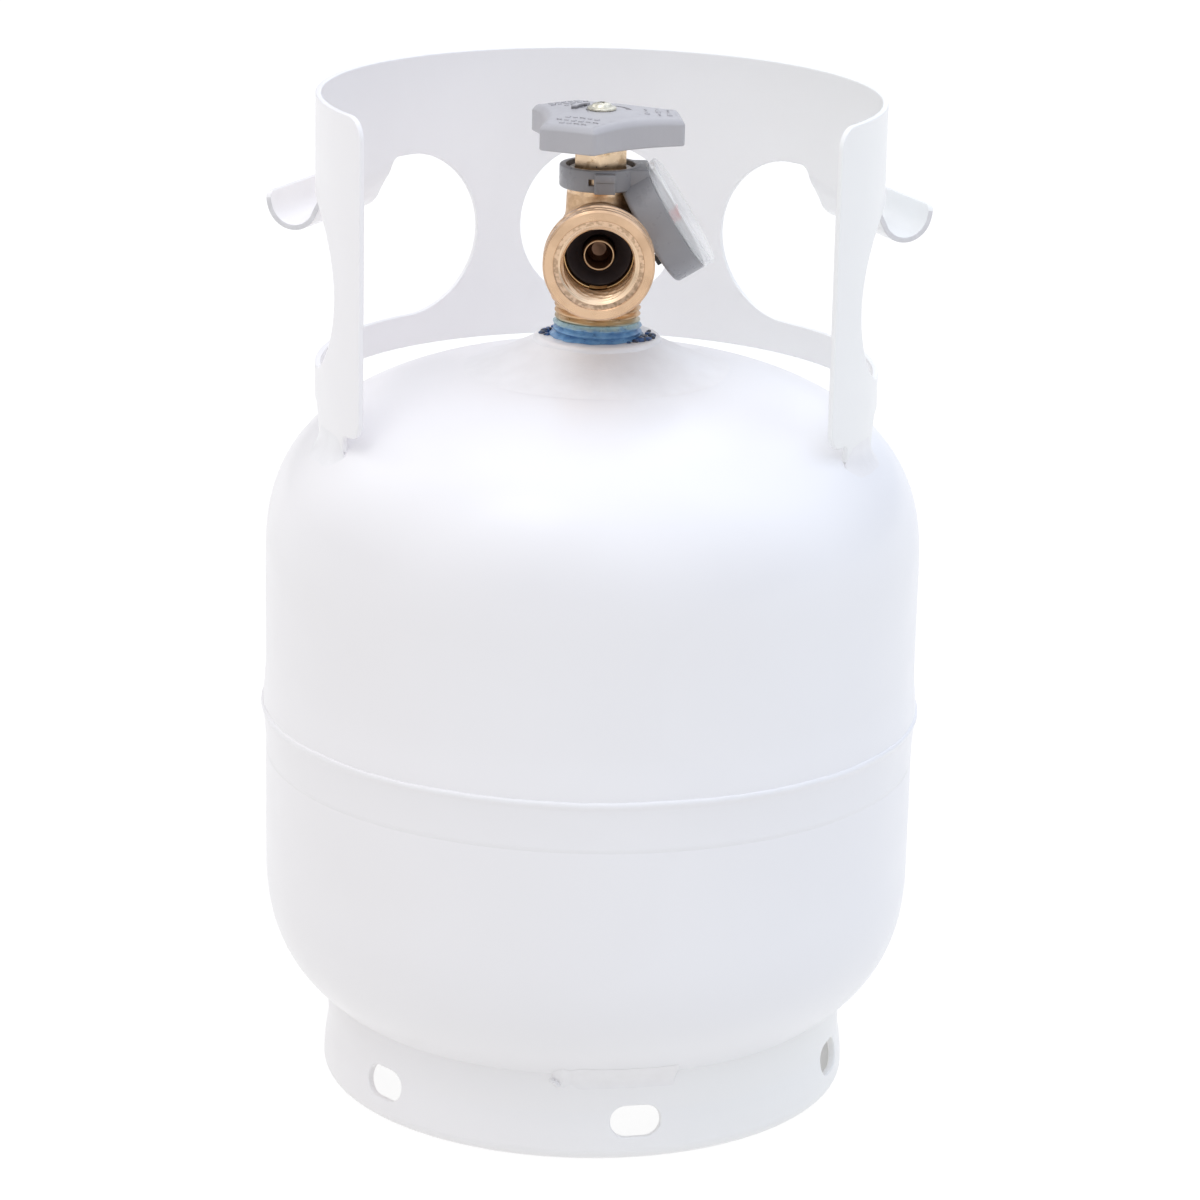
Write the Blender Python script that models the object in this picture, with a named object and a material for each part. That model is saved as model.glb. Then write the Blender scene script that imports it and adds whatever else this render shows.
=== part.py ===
"""Small propane cylinder with collar, service valve and dial level gauge.

Sizes are in millimetres and are turned into metres when a mesh is made. +Z is up, the origin is the
centre of the foot ring on the floor, and the valve's outlet faces -Y. Angles round the cylinder's axis
are in degrees from the front (-Y), growing towards +X.
"""
import bpy
import bmesh
from math import acos, atan2, cos, degrees, pi, radians, sin, tan
from mathutils import Matrix, Vector

MM = 0.001
GAP = 0.3                      # clearance between separate pieces that touch

# Cylinder body
BODY_R = 101.6                 # 8 inch outside diameter
SHEET = 2.0                    # body wall
HEAD_DEPTH = 62.0
HEAD_POWER = 2.57              # exponent of the drawn head's rounded profile
TOP_TANGENT = 168.8            # where the upper head meets the straight wall
BOTTOM_TANGENT = 72.4
SEAM_Z = 121.5                 # lower rim of the upper half
JOGGLE_Z = 107.5               # shoulder where the lower half steps inward
LAP_TOP = 134.0                # top of the lower half's rim, inside the upper half
SEAM_FLARE = 0.9
BEAD_R = 103.3
BODY_STEPS = 40                # facets round the body

# Collar
COLLAR_R = 86.5
COLLAR_WALL = 1.8
COLLAR_TOP = 313.3
COLLAR_EDGE = 54.5             # angle of the front edges
POST_BOTTOM = 216.0
STRAP_BOTTOM = 219.5
FOOT_BOTTOM = 211.8
FRONT_FOOT = (61.0, 76.0)
REAR_FOOT = (173.0, 187.0)
WINDOW_R = 26.0
WINDOW_Z = 256.0
WINDOW_ENDS = (83.0, 135.0)    # angles of the window's two end arcs
HOOK_ANGLE = 114.75
HOOK_HALF = 14.25              # half the tab's width, degrees
HOOK_ROOT_FLARE = 3.0
HOOK_R = 8.3                   # middle of the sheet
HOOK_OUT = 12.0                # from the wall's chord to the middle of the trough
HOOK_Z = 274.2
HOOK_SHEET = 1.7

# Foot ring
FOOT_R = 81.7
FOOT_FLARE_R = 82.9
FOOT_WALL = 2.2
FOOT_CURL_R = 76.0
SLOT_COUNT = 6
SLOT_FIRST = 11.7
SLOT_Z = 13.4
SLOT_LONG = 15.5
SLOT_HIGH = 10.0
FOOT_WELD = (-6.4, 23.3)

# Valve
BOSS_R = 20.0
BOSS_TOP = 239.0
BOSS_BOTTOM = 222.0
VALVE_BOTTOM = 219.0
THREAD_TOP = 252.5
THREAD_R = 13.35               # 3/4 inch taper pipe thread
THREAD_TAPER = 0.03125         # change of radius per millimetre
THREAD_PITCH = 1.814
OUTLET_Z = 269.5
OUTLET_R = 16.67               # 1-5/16 inch Acme thread
OUTLET_END = 42.5
ACME_PITCH = 4.23
SOCKET_R = 11.3
NECK_R = 10.1
NECK_TOP = 289.5
SEAT_Z = 264.0
SEAT_R = 3.2
BONNET_FLATS = 15.5
SPINDLE_LIFT = 3.0
SPINDLE_LEAD = 2.0             # rise of the lower spindle for each turn
RELIEF_Z = 257.0
BLEED_Z = 249.0
BLEED_ANGLE = 221.0
WELL_START = (0.0, 0.0, 262.3)

# Float gear, in the plane y = 0
PIVOT_Z = 188.0
FLOAT_DOWN = 250.0             # arm's angle from +X towards +Z with the tank empty
FLOAT_SWING = 60.0
FLOAT_ARM = 66.0
TAIL_ARM = 6.5
LOBE_ARM = 6.0
LEVER_CLEARANCE = 1.9          # above the middle of the tail and the lobe
STOP_SEAT_Z = 228.0

# Gauge
GAUGE_TILT = 32.0
GAUGE_BACK = (14.0, 0.0, 271.0)
GAUGE_R = 18.0
RING_LOW = 285.2
RING_HIGH = 292.0
RING_R = 12.5

# Handwheel
WHEEL_LOW = 299.3
WHEEL_HIGH = 308.0
WHEEL_FLAT = 24.6              # from the axis to a lobe's flat end
WHEEL_HALF = 9.2               # half the flat end's width
WHEEL_ROUND = 1.7              # radius of the lobes' corners
WHEEL_VALLEY_R = 17.3
WHEEL_LOBES = (5.0, 125.0, 245.0)


# ---------------------------------------------------------------- materials

def finish(name, colour, roughness, metallic=0.0, alpha=1.0):
    material = bpy.data.materials.new(name)
    material.use_nodes = True
    shader = material.node_tree.nodes["Principled BSDF"]
    shader.inputs["Base Color"].default_value = (*colour, 1.0)
    shader.inputs["Roughness"].default_value = roughness
    shader.inputs["Metallic"].default_value = metallic
    shader.inputs["Alpha"].default_value = alpha
    return material


# ---------------------------------------------------------------- mesh tools

def frame_on(origin, direction, side=(0, 1, 0)):
    """Matrix whose local Z runs along direction and whose local Y is near side; origin in millimetres."""
    axis_z = Vector(direction).normalized()
    axis_x = Vector(side).cross(axis_z).normalized()
    axis_y = axis_z.cross(axis_x)
    turn = Matrix((axis_x, axis_y, axis_z)).transposed().to_4x4()
    return Matrix.Translation(Vector(origin) * MM) @ turn


def solid(name, points, faces, material, place=None, smooth=True):
    """An object from points in millimetres, with its faces turned outward."""
    mesh = bpy.data.meshes.new(name)
    mesh.from_pydata([Vector(point) * MM for point in points], [], faces)
    build = bmesh.new()
    build.from_mesh(mesh)
    bmesh.ops.recalc_face_normals(build, faces=build.faces)
    build.to_mesh(mesh)
    build.free()
    if smooth:
        mesh.shade_smooth()
        mesh.set_sharp_from_angle(angle=radians(32))
    mesh.materials.append(material)
    thing = bpy.data.objects.new(name, mesh)
    bpy.context.scene.collection.objects.link(thing)
    if place is not None:
        thing.matrix_world = place
    return thing


def turned(name, profile, steps, material, place=None):
    """Solid of revolution about local Z. The profile closes on itself; along the axis it needs no faces."""
    points = []
    rows = []
    for radius, height in profile:
        if radius == 0:
            rows.append([len(points)])
            points.append((0, 0, height))
        else:
            rows.append(list(range(len(points), len(points) + steps)))
            points += [(radius * cos(2 * pi * k / steps), radius * sin(2 * pi * k / steps), height)
                       for k in range(steps)]
    faces = []
    for k, row in enumerate(rows):
        after = rows[(k + 1) % len(rows)]
        level = profile[k][1] == profile[(k + 1) % len(rows)][1]
        if len(row) + len(after) == steps + 1 and level:
            faces.append(tuple(max(row, after, key=len)))
        elif len(row) + len(after) > 2:
            low = row * (steps // len(row))
            high = after * (steps // len(after))
            for j in range(steps):
                n = (j + 1) % steps
                faces.append(tuple(dict.fromkeys((low[j], low[n], high[n], high[j]))))
    used = sorted({index for face in faces for index in face})
    order = {index: new for new, index in enumerate(used)}
    faces = [tuple(order[index] for index in face) for face in faces]
    return solid(name, [points[index] for index in used], faces, material, place)


def lofted(name, loops, material, place=None, smooth=True):
    """Closed solid through loops of equal length, with a flat cap on each end."""
    count = len(loops[0])
    points = [point for loop in loops for point in loop]
    faces = [tuple(range(count)), tuple(range(len(points) - count, len(points)))]
    for level in range(len(loops) - 1):
        start = level * count
        for k in range(count):
            n = (k + 1) % count
            faces.append((start + k, start + n, start + count + n, start + count + k))
    return solid(name, points, faces, material, place, smooth)


def prism(name, outline, low, high, material, place=None, smooth=True):
    """Outline in local XY, extruded along local Z."""
    return lofted(name, [[(x, y, z) for x, y in outline] for z in (low, high)], material, place, smooth)


def block(name, low, high, material, place=None):
    outline = [(low[0], low[1]), (high[0], low[1]), (high[0], high[1]), (low[0], high[1])]
    return prism(name, outline, low[2], high[2], material, place, smooth=False)


def disc(radius, steps, turn=0.0):
    return [(radius * cos(2 * pi * k / steps + turn), radius * sin(2 * pi * k / steps + turn))
            for k in range(steps)]


def arc(centre, radius, start, end, steps):
    """Points on an arc; angles in degrees."""
    return [(centre[0] + radius * cos(radians(start + (end - start) * k / steps)),
             centre[1] + radius * sin(radians(start + (end - start) * k / steps)))
            for k in range(steps + 1)]


def filleted(corners, steps=4):
    """Outline whose corners (x, y, radius) are rounded."""
    outline = []
    for k, (x, y, radius) in enumerate(corners):
        here = Vector((x, y))
        if radius == 0:
            outline.append((x, y))
            continue
        back = (Vector(corners[k - 1][:2]) - here).normalized()
        ahead = (Vector(corners[(k + 1) % len(corners)][:2]) - here).normalized()
        half = back.angle(ahead) / 2
        reach = radius / tan(half)
        centre = here + (back + ahead).normalized() * (radius / sin(half))
        start = here + back * reach - centre
        sweep = start.angle_signed(here + ahead * reach - centre)
        for step in range(steps + 1):
            angle = -sweep * step / steps
            outline.append((centre.x + start.x * cos(angle) - start.y * sin(angle),
                            centre.y + start.x * sin(angle) + start.y * cos(angle)))
    return outline


def cutter_of(shape):
    shape.hide_render = True
    shape.display_type = 'WIRE'
    return shape


def combine(target, shape, operation):
    change = target.modifiers.new(shape.name, 'BOOLEAN')
    change.operation = operation
    change.solver = 'EXACT'
    change.object = cutter_of(shape)


def cut(target, shape):
    combine(target, shape, 'DIFFERENCE')


def unite(target, shape):
    combine(target, shape, 'UNION')


def settle(thing):
    """Replace an object's mesh by its modified one."""
    graph = bpy.context.evaluated_depsgraph_get()
    mesh = bpy.data.meshes.new_from_object(thing.evaluated_get(graph))
    thing.modifiers.clear()
    thing.data = mesh


def spring(name, radius, wire, turns, low, high, material, place=None):
    """Helix along local Z."""
    curve = bpy.data.curves.new(name, 'CURVE')
    curve.dimensions = '3D'
    curve.bevel_depth = wire * MM
    curve.bevel_resolution = 1
    curve.use_fill_caps = True
    count = int(turns * 12) + 1
    line = curve.splines.new('POLY')
    line.points.add(count - 1)
    for k in range(count):
        turn = 2 * pi * turns * k / (count - 1)
        height = low + wire + (high - low - 2 * wire) * k / (count - 1)
        line.points[k].co = (radius * cos(turn) * MM, radius * sin(turn) * MM, height * MM, 1)
    curve.materials.append(material)
    coil = bpy.data.objects.new(name, curve)
    bpy.context.scene.collection.objects.link(coil)
    if place is not None:
        coil.matrix_world = place
    return coil


def on_wall(angle, radius, z):
    """Point at an angle from the front, a distance from the cylinder's axis."""
    return (radius * sin(radians(angle)), -radius * cos(radians(angle)), z)


def head_height(radius, body_r=BODY_R, depth=HEAD_DEPTH):
    """Height of a drawn head above its tangent line."""
    return depth * (1 - (radius / body_r) ** HEAD_POWER) ** (1 / HEAD_POWER)


def dome(radius):
    return TOP_TANGENT + head_height(radius)


def belly(radius):
    return BOTTOM_TANGENT - head_height(radius)


def head_profile(body_r, depth, steps, inner=0.0):
    """(radius, height) pairs from the straight wall to the middle, or to a hole of the inner radius."""
    pairs = []
    for k in range(steps):
        turn = pi / 2 * k / steps
        pairs.append((body_r * cos(turn) ** (2 / HEAD_POWER), depth * sin(turn) ** (2 / HEAD_POWER)))
    kept = [pair for pair in pairs if pair[0] > inner + 1]
    return kept + [(inner, head_height(inner, body_r, depth))]


# ---------------------------------------------------------------- cylinder body

def make_upper_shell(paint):
    hole = BOSS_R + GAP
    inside = BODY_R - SHEET
    outer = [(BODY_R + SEAM_FLARE, SEAM_Z + GAP), (BODY_R, SEAM_Z + 14)]
    outer += [(r, TOP_TANGENT + z) for r, z in head_profile(BODY_R, HEAD_DEPTH, 9, hole)]
    inner = [(inside, SEAM_Z + GAP)]
    inner += [(r, TOP_TANGENT + z) for r, z in head_profile(inside, HEAD_DEPTH - SHEET, 6, hole)]
    return turned("upper_shell", outer + inner[::-1], BODY_STEPS, paint)


def make_lower_shell(paint):
    lap = BODY_R - SHEET - GAP
    inside = BODY_R - SHEET
    outer = [(lap, LAP_TOP), (lap, JOGGLE_Z + 4.5), (BODY_R, JOGGLE_Z)]
    outer += [(r, BOTTOM_TANGENT - z) for r, z in head_profile(BODY_R, HEAD_DEPTH, 9)]
    inner = [(0, BOTTOM_TANGENT - HEAD_DEPTH + SHEET)]
    inner += [(r, BOTTOM_TANGENT - z) for r, z in head_profile(inside, HEAD_DEPTH - SHEET, 6)[-2::-1]]
    inner += [(inside, JOGGLE_Z - 2), (lap - SHEET, JOGGLE_Z + 3.5), (lap - SHEET, LAP_TOP)]
    return turned("lower_shell", outer + inner, BODY_STEPS, paint)


def make_girth_weld(paint):
    lap = BODY_R - SHEET
    profile = [(lap, SEAM_Z - 0.3), (lap, JOGGLE_Z + 5.2), (BODY_R + 0.15, JOGGLE_Z + 0.4),
               (BODY_R + 0.9, JOGGLE_Z + 2.5), (BEAD_R, JOGGLE_Z + 8), (BEAD_R - 0.3, SEAM_Z - 1.6),
               (BODY_R + SEAM_FLARE + 0.1, SEAM_Z - 0.3)]
    return turned("girth_weld", profile, BODY_STEPS, paint)


def make_boss(steel, paint):
    """Threaded spud and the fillet weld round it."""
    bore_top = THREAD_R + GAP
    bore_low = bore_top - (BOSS_TOP - BOSS_BOTTOM) * THREAD_TAPER
    spud = [(bore_low, BOSS_BOTTOM), (BOSS_R - 1, BOSS_BOTTOM), (BOSS_R, BOSS_BOTTOM + 1),
            (BOSS_R, BOSS_TOP - 0.8), (BOSS_R - 0.8, BOSS_TOP), (bore_top + 0.8, BOSS_TOP),
            (bore_top, BOSS_TOP - 0.8)]
    turned("valve_boss", spud, 32, steel)
    inner = BOSS_R + GAP
    toe = 31.5
    fillet = [(inner, dome(inner) + GAP), (26.0, dome(26.0) + GAP), (toe, dome(toe) + GAP),
              (27.0, dome(27.0) + 1.5), (23.5, dome(23.5) + 3.4), (21.4, dome(21.4) + 5.8),
              (inner, dome(inner) + 7.2)]
    turned("boss_weld", fillet, 32, paint)


# ---------------------------------------------------------------- collar

def collar_outline():
    """Edge of the flattened sheet; x is the angle from the front, y the height. The sheet is mirrored at 180."""
    mm = degrees(1 / (COLLAR_R - COLLAR_WALL / 2))
    front = [(COLLAR_EDGE, COLLAR_TOP, 7), (COLLAR_EDGE, POST_BOTTOM, 5.5),
             (FRONT_FOOT[0], POST_BOTTOM, 1.5), (FRONT_FOOT[0], FOOT_BOTTOM, 0.8),
             (FRONT_FOOT[1], FOOT_BOTTOM, 1.5), (FRONT_FOOT[1] + 3, STRAP_BOTTOM, 4),
             (REAR_FOOT[0] - 3, STRAP_BOTTOM, 4), (REAR_FOOT[0], FOOT_BOTTOM, 1.5)]
    back = [(360 - angle, z, radius) for angle, z, radius in front[::-1]]
    corners = [(angle / mm, z, radius) for angle, z, radius in front + back]
    return filleted(corners)


def collar_point(along, z, depth):
    """Rolls a point of the flattened sheet, at a depth below its outer side, round the axis."""
    middle = COLLAR_R - COLLAR_WALL / 2
    return on_wall(degrees(along / middle), COLLAR_R - depth, z)


def hook_path():
    """(outward, height) along the middle of the hook's sheet, from the window's upper edge to the tip."""
    wall = [(0.0, WINDOW_Z + WINDOW_R - GAP), (0.0, 279.0), (0.5, 276.8), (1.9, 274.6)]
    trough = arc((HOOK_OUT, HOOK_Z), HOOK_R, 200, 350, 9)
    return wall + trough + [(HOOK_OUT + HOOK_R + 0.6, HOOK_Z + 2.2)]


def hook(name, side, material):
    """Tab bent out of the window's metal into a trough; side is 1 on the right and -1 on the left."""
    middle = COLLAR_R - COLLAR_WALL / 2
    path = hook_path()
    columns = 8
    outward = Vector((sin(radians(HOOK_ANGLE)), -cos(radians(HOOK_ANGLE)), 0))
    along = Vector((cos(radians(HOOK_ANGLE)), sin(radians(HOOK_ANGLE)), 0))
    chord = middle * cos(radians(HOOK_HALF))
    loops = []
    for k, (out, z) in enumerate(path):
        before = Vector(path[max(k - 1, 0)])
        after = Vector(path[min(k + 1, len(path) - 1)])
        run = (after - before).normalized()
        across = Vector((-run.y, run.x)) * (HOOK_SHEET / 2)
        flat = min(k / 4, 1)
        half = HOOK_HALF + HOOK_ROOT_FLARE * max(0, 1 - k / 2)
        loop = []
        for sign, order in ((1, range(columns + 1)), (-1, range(columns, -1, -1))):
            for column in order:
                angle = half * (2 * column / columns - 1)
                curved = middle * cos(radians(angle)) * (1 - flat) + chord * flat
                point = outward * (curved + out + sign * across.x) + along * middle * sin(radians(angle))
                loop.append((side * point.x, point.y, z + sign * across.y))
        loops.append(loop)
    return lofted(name, loops, material)


def make_collar(paint):
    mm = degrees(1 / (COLLAR_R - COLLAR_WALL / 2))
    low = FOOT_BOTTOM - 6
    high = COLLAR_TOP + 6
    first = (COLLAR_EDGE - 4) / mm
    last = (360 - COLLAR_EDGE + 4) / mm
    columns = 58
    loops = []
    for k in range(columns + 1):
        x = first + (last - first) * k / columns
        loops.append([(x, 0, low), (x, COLLAR_WALL, low), (x, COLLAR_WALL, high), (x, 0, high)])
    collar = lofted("collar", loops, paint)
    lying = Matrix.Rotation(radians(90), 4, 'X')
    keep = prism("collar_outline", collar_outline(), -COLLAR_WALL - 3, 3, paint, lying)
    combine(collar, keep, 'INTERSECT')
    for side, name in ((1, "right"), (-1, "left")):
        ends = sorted((angle if side > 0 else 360 - angle) / mm for angle in WINDOW_ENDS)
        outline = arc((ends[0], WINDOW_Z), WINDOW_R, 90, 270, 12)
        outline += arc((ends[1], WINDOW_Z), WINDOW_R, -90, 90, 12)
        cut(collar, prism("window_" + name, outline, -COLLAR_WALL - 3, 3, paint, lying))
    hole = [(180 / mm + x, WINDOW_Z + y) for x, y in disc(WINDOW_R, 24)]
    cut(collar, prism("rear_hole", hole, -COLLAR_WALL - 3, 3, paint, lying))
    settle(collar)
    for vertex in collar.data.vertices:
        flat = vertex.co / MM
        vertex.co = Vector(collar_point(flat.x, flat.z, flat.y)) * MM
    collar.data.shade_smooth()
    collar.data.set_sharp_from_angle(angle=radians(32))
    hook("hook_right", 1, paint)
    hook("hook_left", -1, paint)


def make_collar_weld(name, start, end, paint):
    """Fillet outside one of the collar's feet, thin at both ends."""
    inner = COLLAR_R + GAP
    loops = []
    steps = 8
    for k in range(steps + 1):
        angle = start + (end - start) * k / steps
        size = 0.35 + 0.65 * sin(pi * k / steps) ** 0.5
        toe = inner + 4.6 * size
        rib = inner + 2.0 * size
        loops.append([on_wall(angle, inner, dome(inner) + GAP), on_wall(angle, toe, dome(toe) + GAP),
                      on_wall(angle, rib, dome(rib) + GAP + 1.9 * size),
                      on_wall(angle, inner, dome(inner) + GAP + 3.6 * size)])
    return lofted(name, loops, paint)


# ---------------------------------------------------------------- foot ring

def make_foot_ring(paint):
    inside = FOOT_R - FOOT_WALL
    profile = [(FOOT_R, belly(FOOT_R) - GAP), (FOOT_R, 15), (FOOT_FLARE_R - 0.2, 6.5),
               (FOOT_FLARE_R, 3.2), (FOOT_FLARE_R - 0.7, 0.8), (FOOT_FLARE_R - 1.9, 0),
               (FOOT_CURL_R, 0), (FOOT_CURL_R, 2.0), (78.6, 2.2), (80.2, 4.2), (80.3, 7), (inside, 15),
               (inside, belly(inside) - GAP)]
    ring = turned("foot_ring", profile, 48, paint)
    half = SLOT_LONG / 2 - SLOT_HIGH / 2
    outline = arc((half, 0), SLOT_HIGH / 2, -90, 90, 5) + arc((-half, 0), SLOT_HIGH / 2, 90, 270, 5)
    for k in range(SLOT_COUNT):
        angle = SLOT_FIRST + 360 / SLOT_COUNT * k
        away = on_wall(angle, 1, 0)
        place = frame_on(on_wall(angle, FOOT_R, SLOT_Z), away, (0, 0, 1))
        cut(ring, prism(f"slot_{k}", outline, -8, 6, paint, place))
    return ring


def make_foot_weld(name, start, end, paint):
    """Fillet that fills the corner between foot ring and body."""
    inner = FOOT_R + GAP
    loops = []
    steps = 8
    for k in range(steps + 1):
        angle = start + (end - start) * k / steps
        size = 0.45 + 0.55 * sin(pi * k / steps) ** 0.4
        top = belly(inner) - GAP
        toe = inner + 4.4 * size
        loops.append([on_wall(angle, inner, top - 6.2 * size), on_wall(angle, inner + 0.9, top - 5.6 * size),
                      on_wall(angle, inner + 3.1 * size, top - 1.6 * size),
                      on_wall(angle, toe, belly(toe) - GAP - 0.1), on_wall(angle, toe - 0.3, belly(toe - 0.3) - GAP),
                      on_wall(angle, inner, top)])
    return lofted(name, loops, paint)


# ---------------------------------------------------------------- valve

def outlet_frame():
    """Local Z runs out of the outlet."""
    return frame_on((0, 0, OUTLET_Z), (0, -1, 0), (0, 0, 1))


def relief_frame():
    return frame_on((0, 0, RELIEF_Z), (0, 1, 0), (0, 0, 1))


def bleed_frame():
    return frame_on((0, 0, BLEED_Z), on_wall(BLEED_ANGLE, 1, 0), (0, 0, 1))


def gauge_axis():
    return (cos(radians(GAUGE_TILT)), 0, sin(radians(GAUGE_TILT)))


def gauge_frame():
    return frame_on(GAUGE_BACK, gauge_axis())


def barrel_profile():
    """Outlet's outside, from inside the body to the face, with its thread."""
    crest = OUTLET_END - 2.3 - ACME_PITCH * 2
    profile = [(0, 1.0), (12.3, 1.0), (12.3, 17.6), (13.7, 18.6), (13.7, crest - 1.4), (14.9, crest - 0.9)]
    for k in range(2):
        start = crest + ACME_PITCH * k
        profile += [(OUTLET_R, start), (OUTLET_R, start + ACME_PITCH * 0.5), (14.9, start + ACME_PITCH * 0.75)]
    profile += [(OUTLET_R, crest + ACME_PITCH * 2), (OUTLET_R, OUTLET_END - 0.7),
                (OUTLET_R - 0.6, OUTLET_END), (0, OUTLET_END)]
    return profile


def stem_profile():
    """Pipe thread, body and neck of the valve's upright part."""
    low_r = THREAD_R - (THREAD_TOP - VALVE_BOTTOM) * THREAD_TAPER
    profile = [(0, VALVE_BOTTOM), (low_r - 0.8, VALVE_BOTTOM), (low_r, VALVE_BOTTOM + 1)]
    first = BOSS_TOP + 5.4
    profile.append((THREAD_R - (THREAD_TOP - first) * THREAD_TAPER - 0.6, first - 0.4))
    for k in range(4):
        z = first + THREAD_PITCH * (k + 0.5)
        profile += [(THREAD_R, z), (THREAD_R - 0.8, z + THREAD_PITCH / 2)]
    profile += [(THREAD_R - 0.8, THREAD_TOP), (14.0, THREAD_TOP + 0.8), (14.0, 263.0), (12.0, 268.5),
                (NECK_R, 276.0), (NECK_R, NECK_TOP - 0.5), (NECK_R - 0.5, NECK_TOP), (0, NECK_TOP)]
    return profile


def make_valve_body(brass):
    body = turned("valve_body", stem_profile(), 24, brass)
    unite(body, turned("barrel", barrel_profile(), 24, brass, outlet_frame()))
    unite(body, turned("relief_port", [(0, 1), (9.5, 1), (9.5, 19), (0, 19)], 16, brass, relief_frame()))
    unite(body, turned("bleed_port", [(0, 1), (3.8, 1), (3.8, 15.5), (0, 15.5)], 12, brass, bleed_frame()))
    well = frame_on(WELL_START, gauge_axis())
    unite(body, turned("gauge_well", [(0, 1), (5, 1), (5, 16.8), (0, 16.8)], 16, brass, well))
    upright = [(0, 210), (9.3, 210), (9.3, 243), (6.5, 243), (6.5, 262), (SEAT_R, 262), (SEAT_R, SEAT_Z),
               (6.6, SEAT_Z), (6.6, 276), (7.7, 276), (7.7, 300), (0, 300)]
    cut(body, turned("upright_bore", upright, 16, brass))
    socket = [(0, 0), (4.2, 0), (4.2, 9), (6.0, 9), (6.0, 12), (SOCKET_R, 12), (SOCKET_R, OUTLET_END - 2.0),
              (12.1, OUTLET_END - 1.0), (13.5, OUTLET_END - 1.0), (13.5, 48), (0, 48)]
    cut(body, turned("socket_bore", socket, 24, brass, outlet_frame()))
    relief = [(0, 3), (2.6, 3), (2.6, 9), (6.6, 9), (6.6, 22), (0, 22)]
    cut(body, turned("relief_bore", relief, 16, brass, relief_frame()))
    bleed = [(0, 4), (0.7, 4), (0.7, 11), (2.2, 11), (2.2, 20), (0, 20)]
    cut(body, turned("bleed_bore", bleed, 10, brass, bleed_frame()))
    spot = on_wall(BLEED_ANGLE, 11.0, 0)
    passage = frame_on((spot[0], spot[1], 215), (0, 0, 1))
    cut(body, turned("dip_bore", [(0, 0), (1.35, 0), (1.35, 35), (0, 35)], 10, brass, passage))
    return body


def make_thread_sealant(blue):
    inner_low = THREAD_R - (THREAD_TOP - BOSS_TOP) * THREAD_TAPER + 0.15
    profile = [(inner_low + 0.2, BOSS_TOP + GAP), (15.2, BOSS_TOP + GAP), (14.6, BOSS_TOP + 1.2)]
    for k in range(2):
        z = BOSS_TOP + 1.3 + THREAD_PITCH * k
        profile += [(13.75, z + THREAD_PITCH * 0.4), (14.25, z + THREAD_PITCH * 0.85)]
    profile += [(inner_low + 0.2, BOSS_TOP + 4.9)]
    return turned("thread_sealant", profile, 24, blue)


def make_outlet_inside(brass, rubber, steel):
    place = outlet_frame()
    sleeve = turned("outlet_retainer", [(10.1, 17), (10.9, 17), (10.9, 26.6), (10.1, 26.6)], 24, brass, place)
    cut(sleeve, block("retainer_notch", (-2.7, -13, 24.6), (2.7, -8, 30), brass, place))
    seal = [(5.0, 17), (9.8, 17), (9.8, 24.4), (9.0, 24.4), (5.6, 22.2), (5.0, 21.6)]
    turned("outlet_seal", seal, 24, rubber, place)
    nozzle = [(0, 15.4), (6.2, 15.4), (6.2, 16.7), (4.7, 16.7), (4.7, 27.6), (4.0, 27.6), (4.0, 20.6), (0, 20.6)]
    turned("check_nozzle", nozzle, 24, brass, place)
    spring("check_spring", 5.2, 0.35, 4, 9.3, 15.1, steel, place)


def hexagon(flats, turn=0.0):
    return disc(flats / 2 / cos(pi / 6), 6, turn)


def make_bonnet(brass, nickel, rubber):
    turned("bonnet_washer", [(7.9, NECK_TOP + GAP), (9.7, NECK_TOP + GAP), (9.7, NECK_TOP + 1.3),
                             (7.9, NECK_TOP + 1.3)], 28, nickel)
    seat = NECK_TOP + 1.6
    nut = prism("bonnet_nut", hexagon(BONNET_FLATS, pi / 6), seat, 300.0, brass)
    unite(nut, turned("bonnet_spigot", [(0, 282), (7.4, 282), (7.4, seat + 1), (0, seat + 1)], 20, brass))
    cut(nut, turned("bonnet_bore", [(0, 280), (3.3, 280), (3.3, 285), (4.5, 285), (4.5, 289), (3.3, 289),
                                    (3.3, 302), (0, 302)], 16, brass))
    turned("stem_o_ring", [(3.3 + 0.5 + 0.55 * cos(2 * pi * k / 6), 287 + 0.75 * sin(2 * pi * k / 6))
                           for k in range(6)], 18, rubber)


def make_spindles(brass, rubber):
    stem = turned("valve_stem", [(0, 280.2), (4.6, 280.2), (4.6, 281.6), (3.0, 281.6), (3.0, 300.6),
                                 (2.6, 301.0), (2.6, 306.3), (1.9, 306.3), (1.9, 299.0), (0, 299.0)], 16, brass)
    unite(stem, block("stem_tongue", (-0.8, -2.4, 271.8), (0.8, 2.4, 281), brass))
    lower = turned("lower_spindle", [(0, 266.3), (3.8, 266.3), (6.2, 267.4), (6.2, 274.8), (5.8, 275.2),
                                     (0, 275.2)], 20, brass)
    cut(lower, block("spindle_slot", (-1.2, -2.9, 268.3), (1.2, 2.9, 277), brass))
    turned("seat_disc", [(0, SEAT_Z + GAP), (4.6, SEAT_Z + GAP), (4.6, 266.0), (0, 266.0)], 16, rubber)


def make_relief(brass, rubber, steel):
    place = relief_frame()
    turned("relief_seal", [(0, 9.3), (4.0, 9.3), (4.0, 10.3), (0, 10.3)], 14, rubber, place)
    turned("relief_poppet", [(0, 10.6), (5.4, 10.6), (5.4, 12.0), (1.5, 12.0), (1.5, 17.2), (0, 17.2)],
           14, brass, place)
    spring("relief_spring", 3.4, 0.45, 2.5, 12.3, 17.6, steel, place)
    cap = turned("relief_cap", [(0, 17.9), (6.2, 17.9), (6.2, 19.3), (9.0, 19.3), (9.0, 20.9), (8.2, 21.7),
                                (0, 21.7)], 20, brass, place)
    cut(cap, turned("relief_vent", [(0, 16), (2.0, 16), (2.0, 24), (0, 24)], 12, brass, place))


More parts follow.
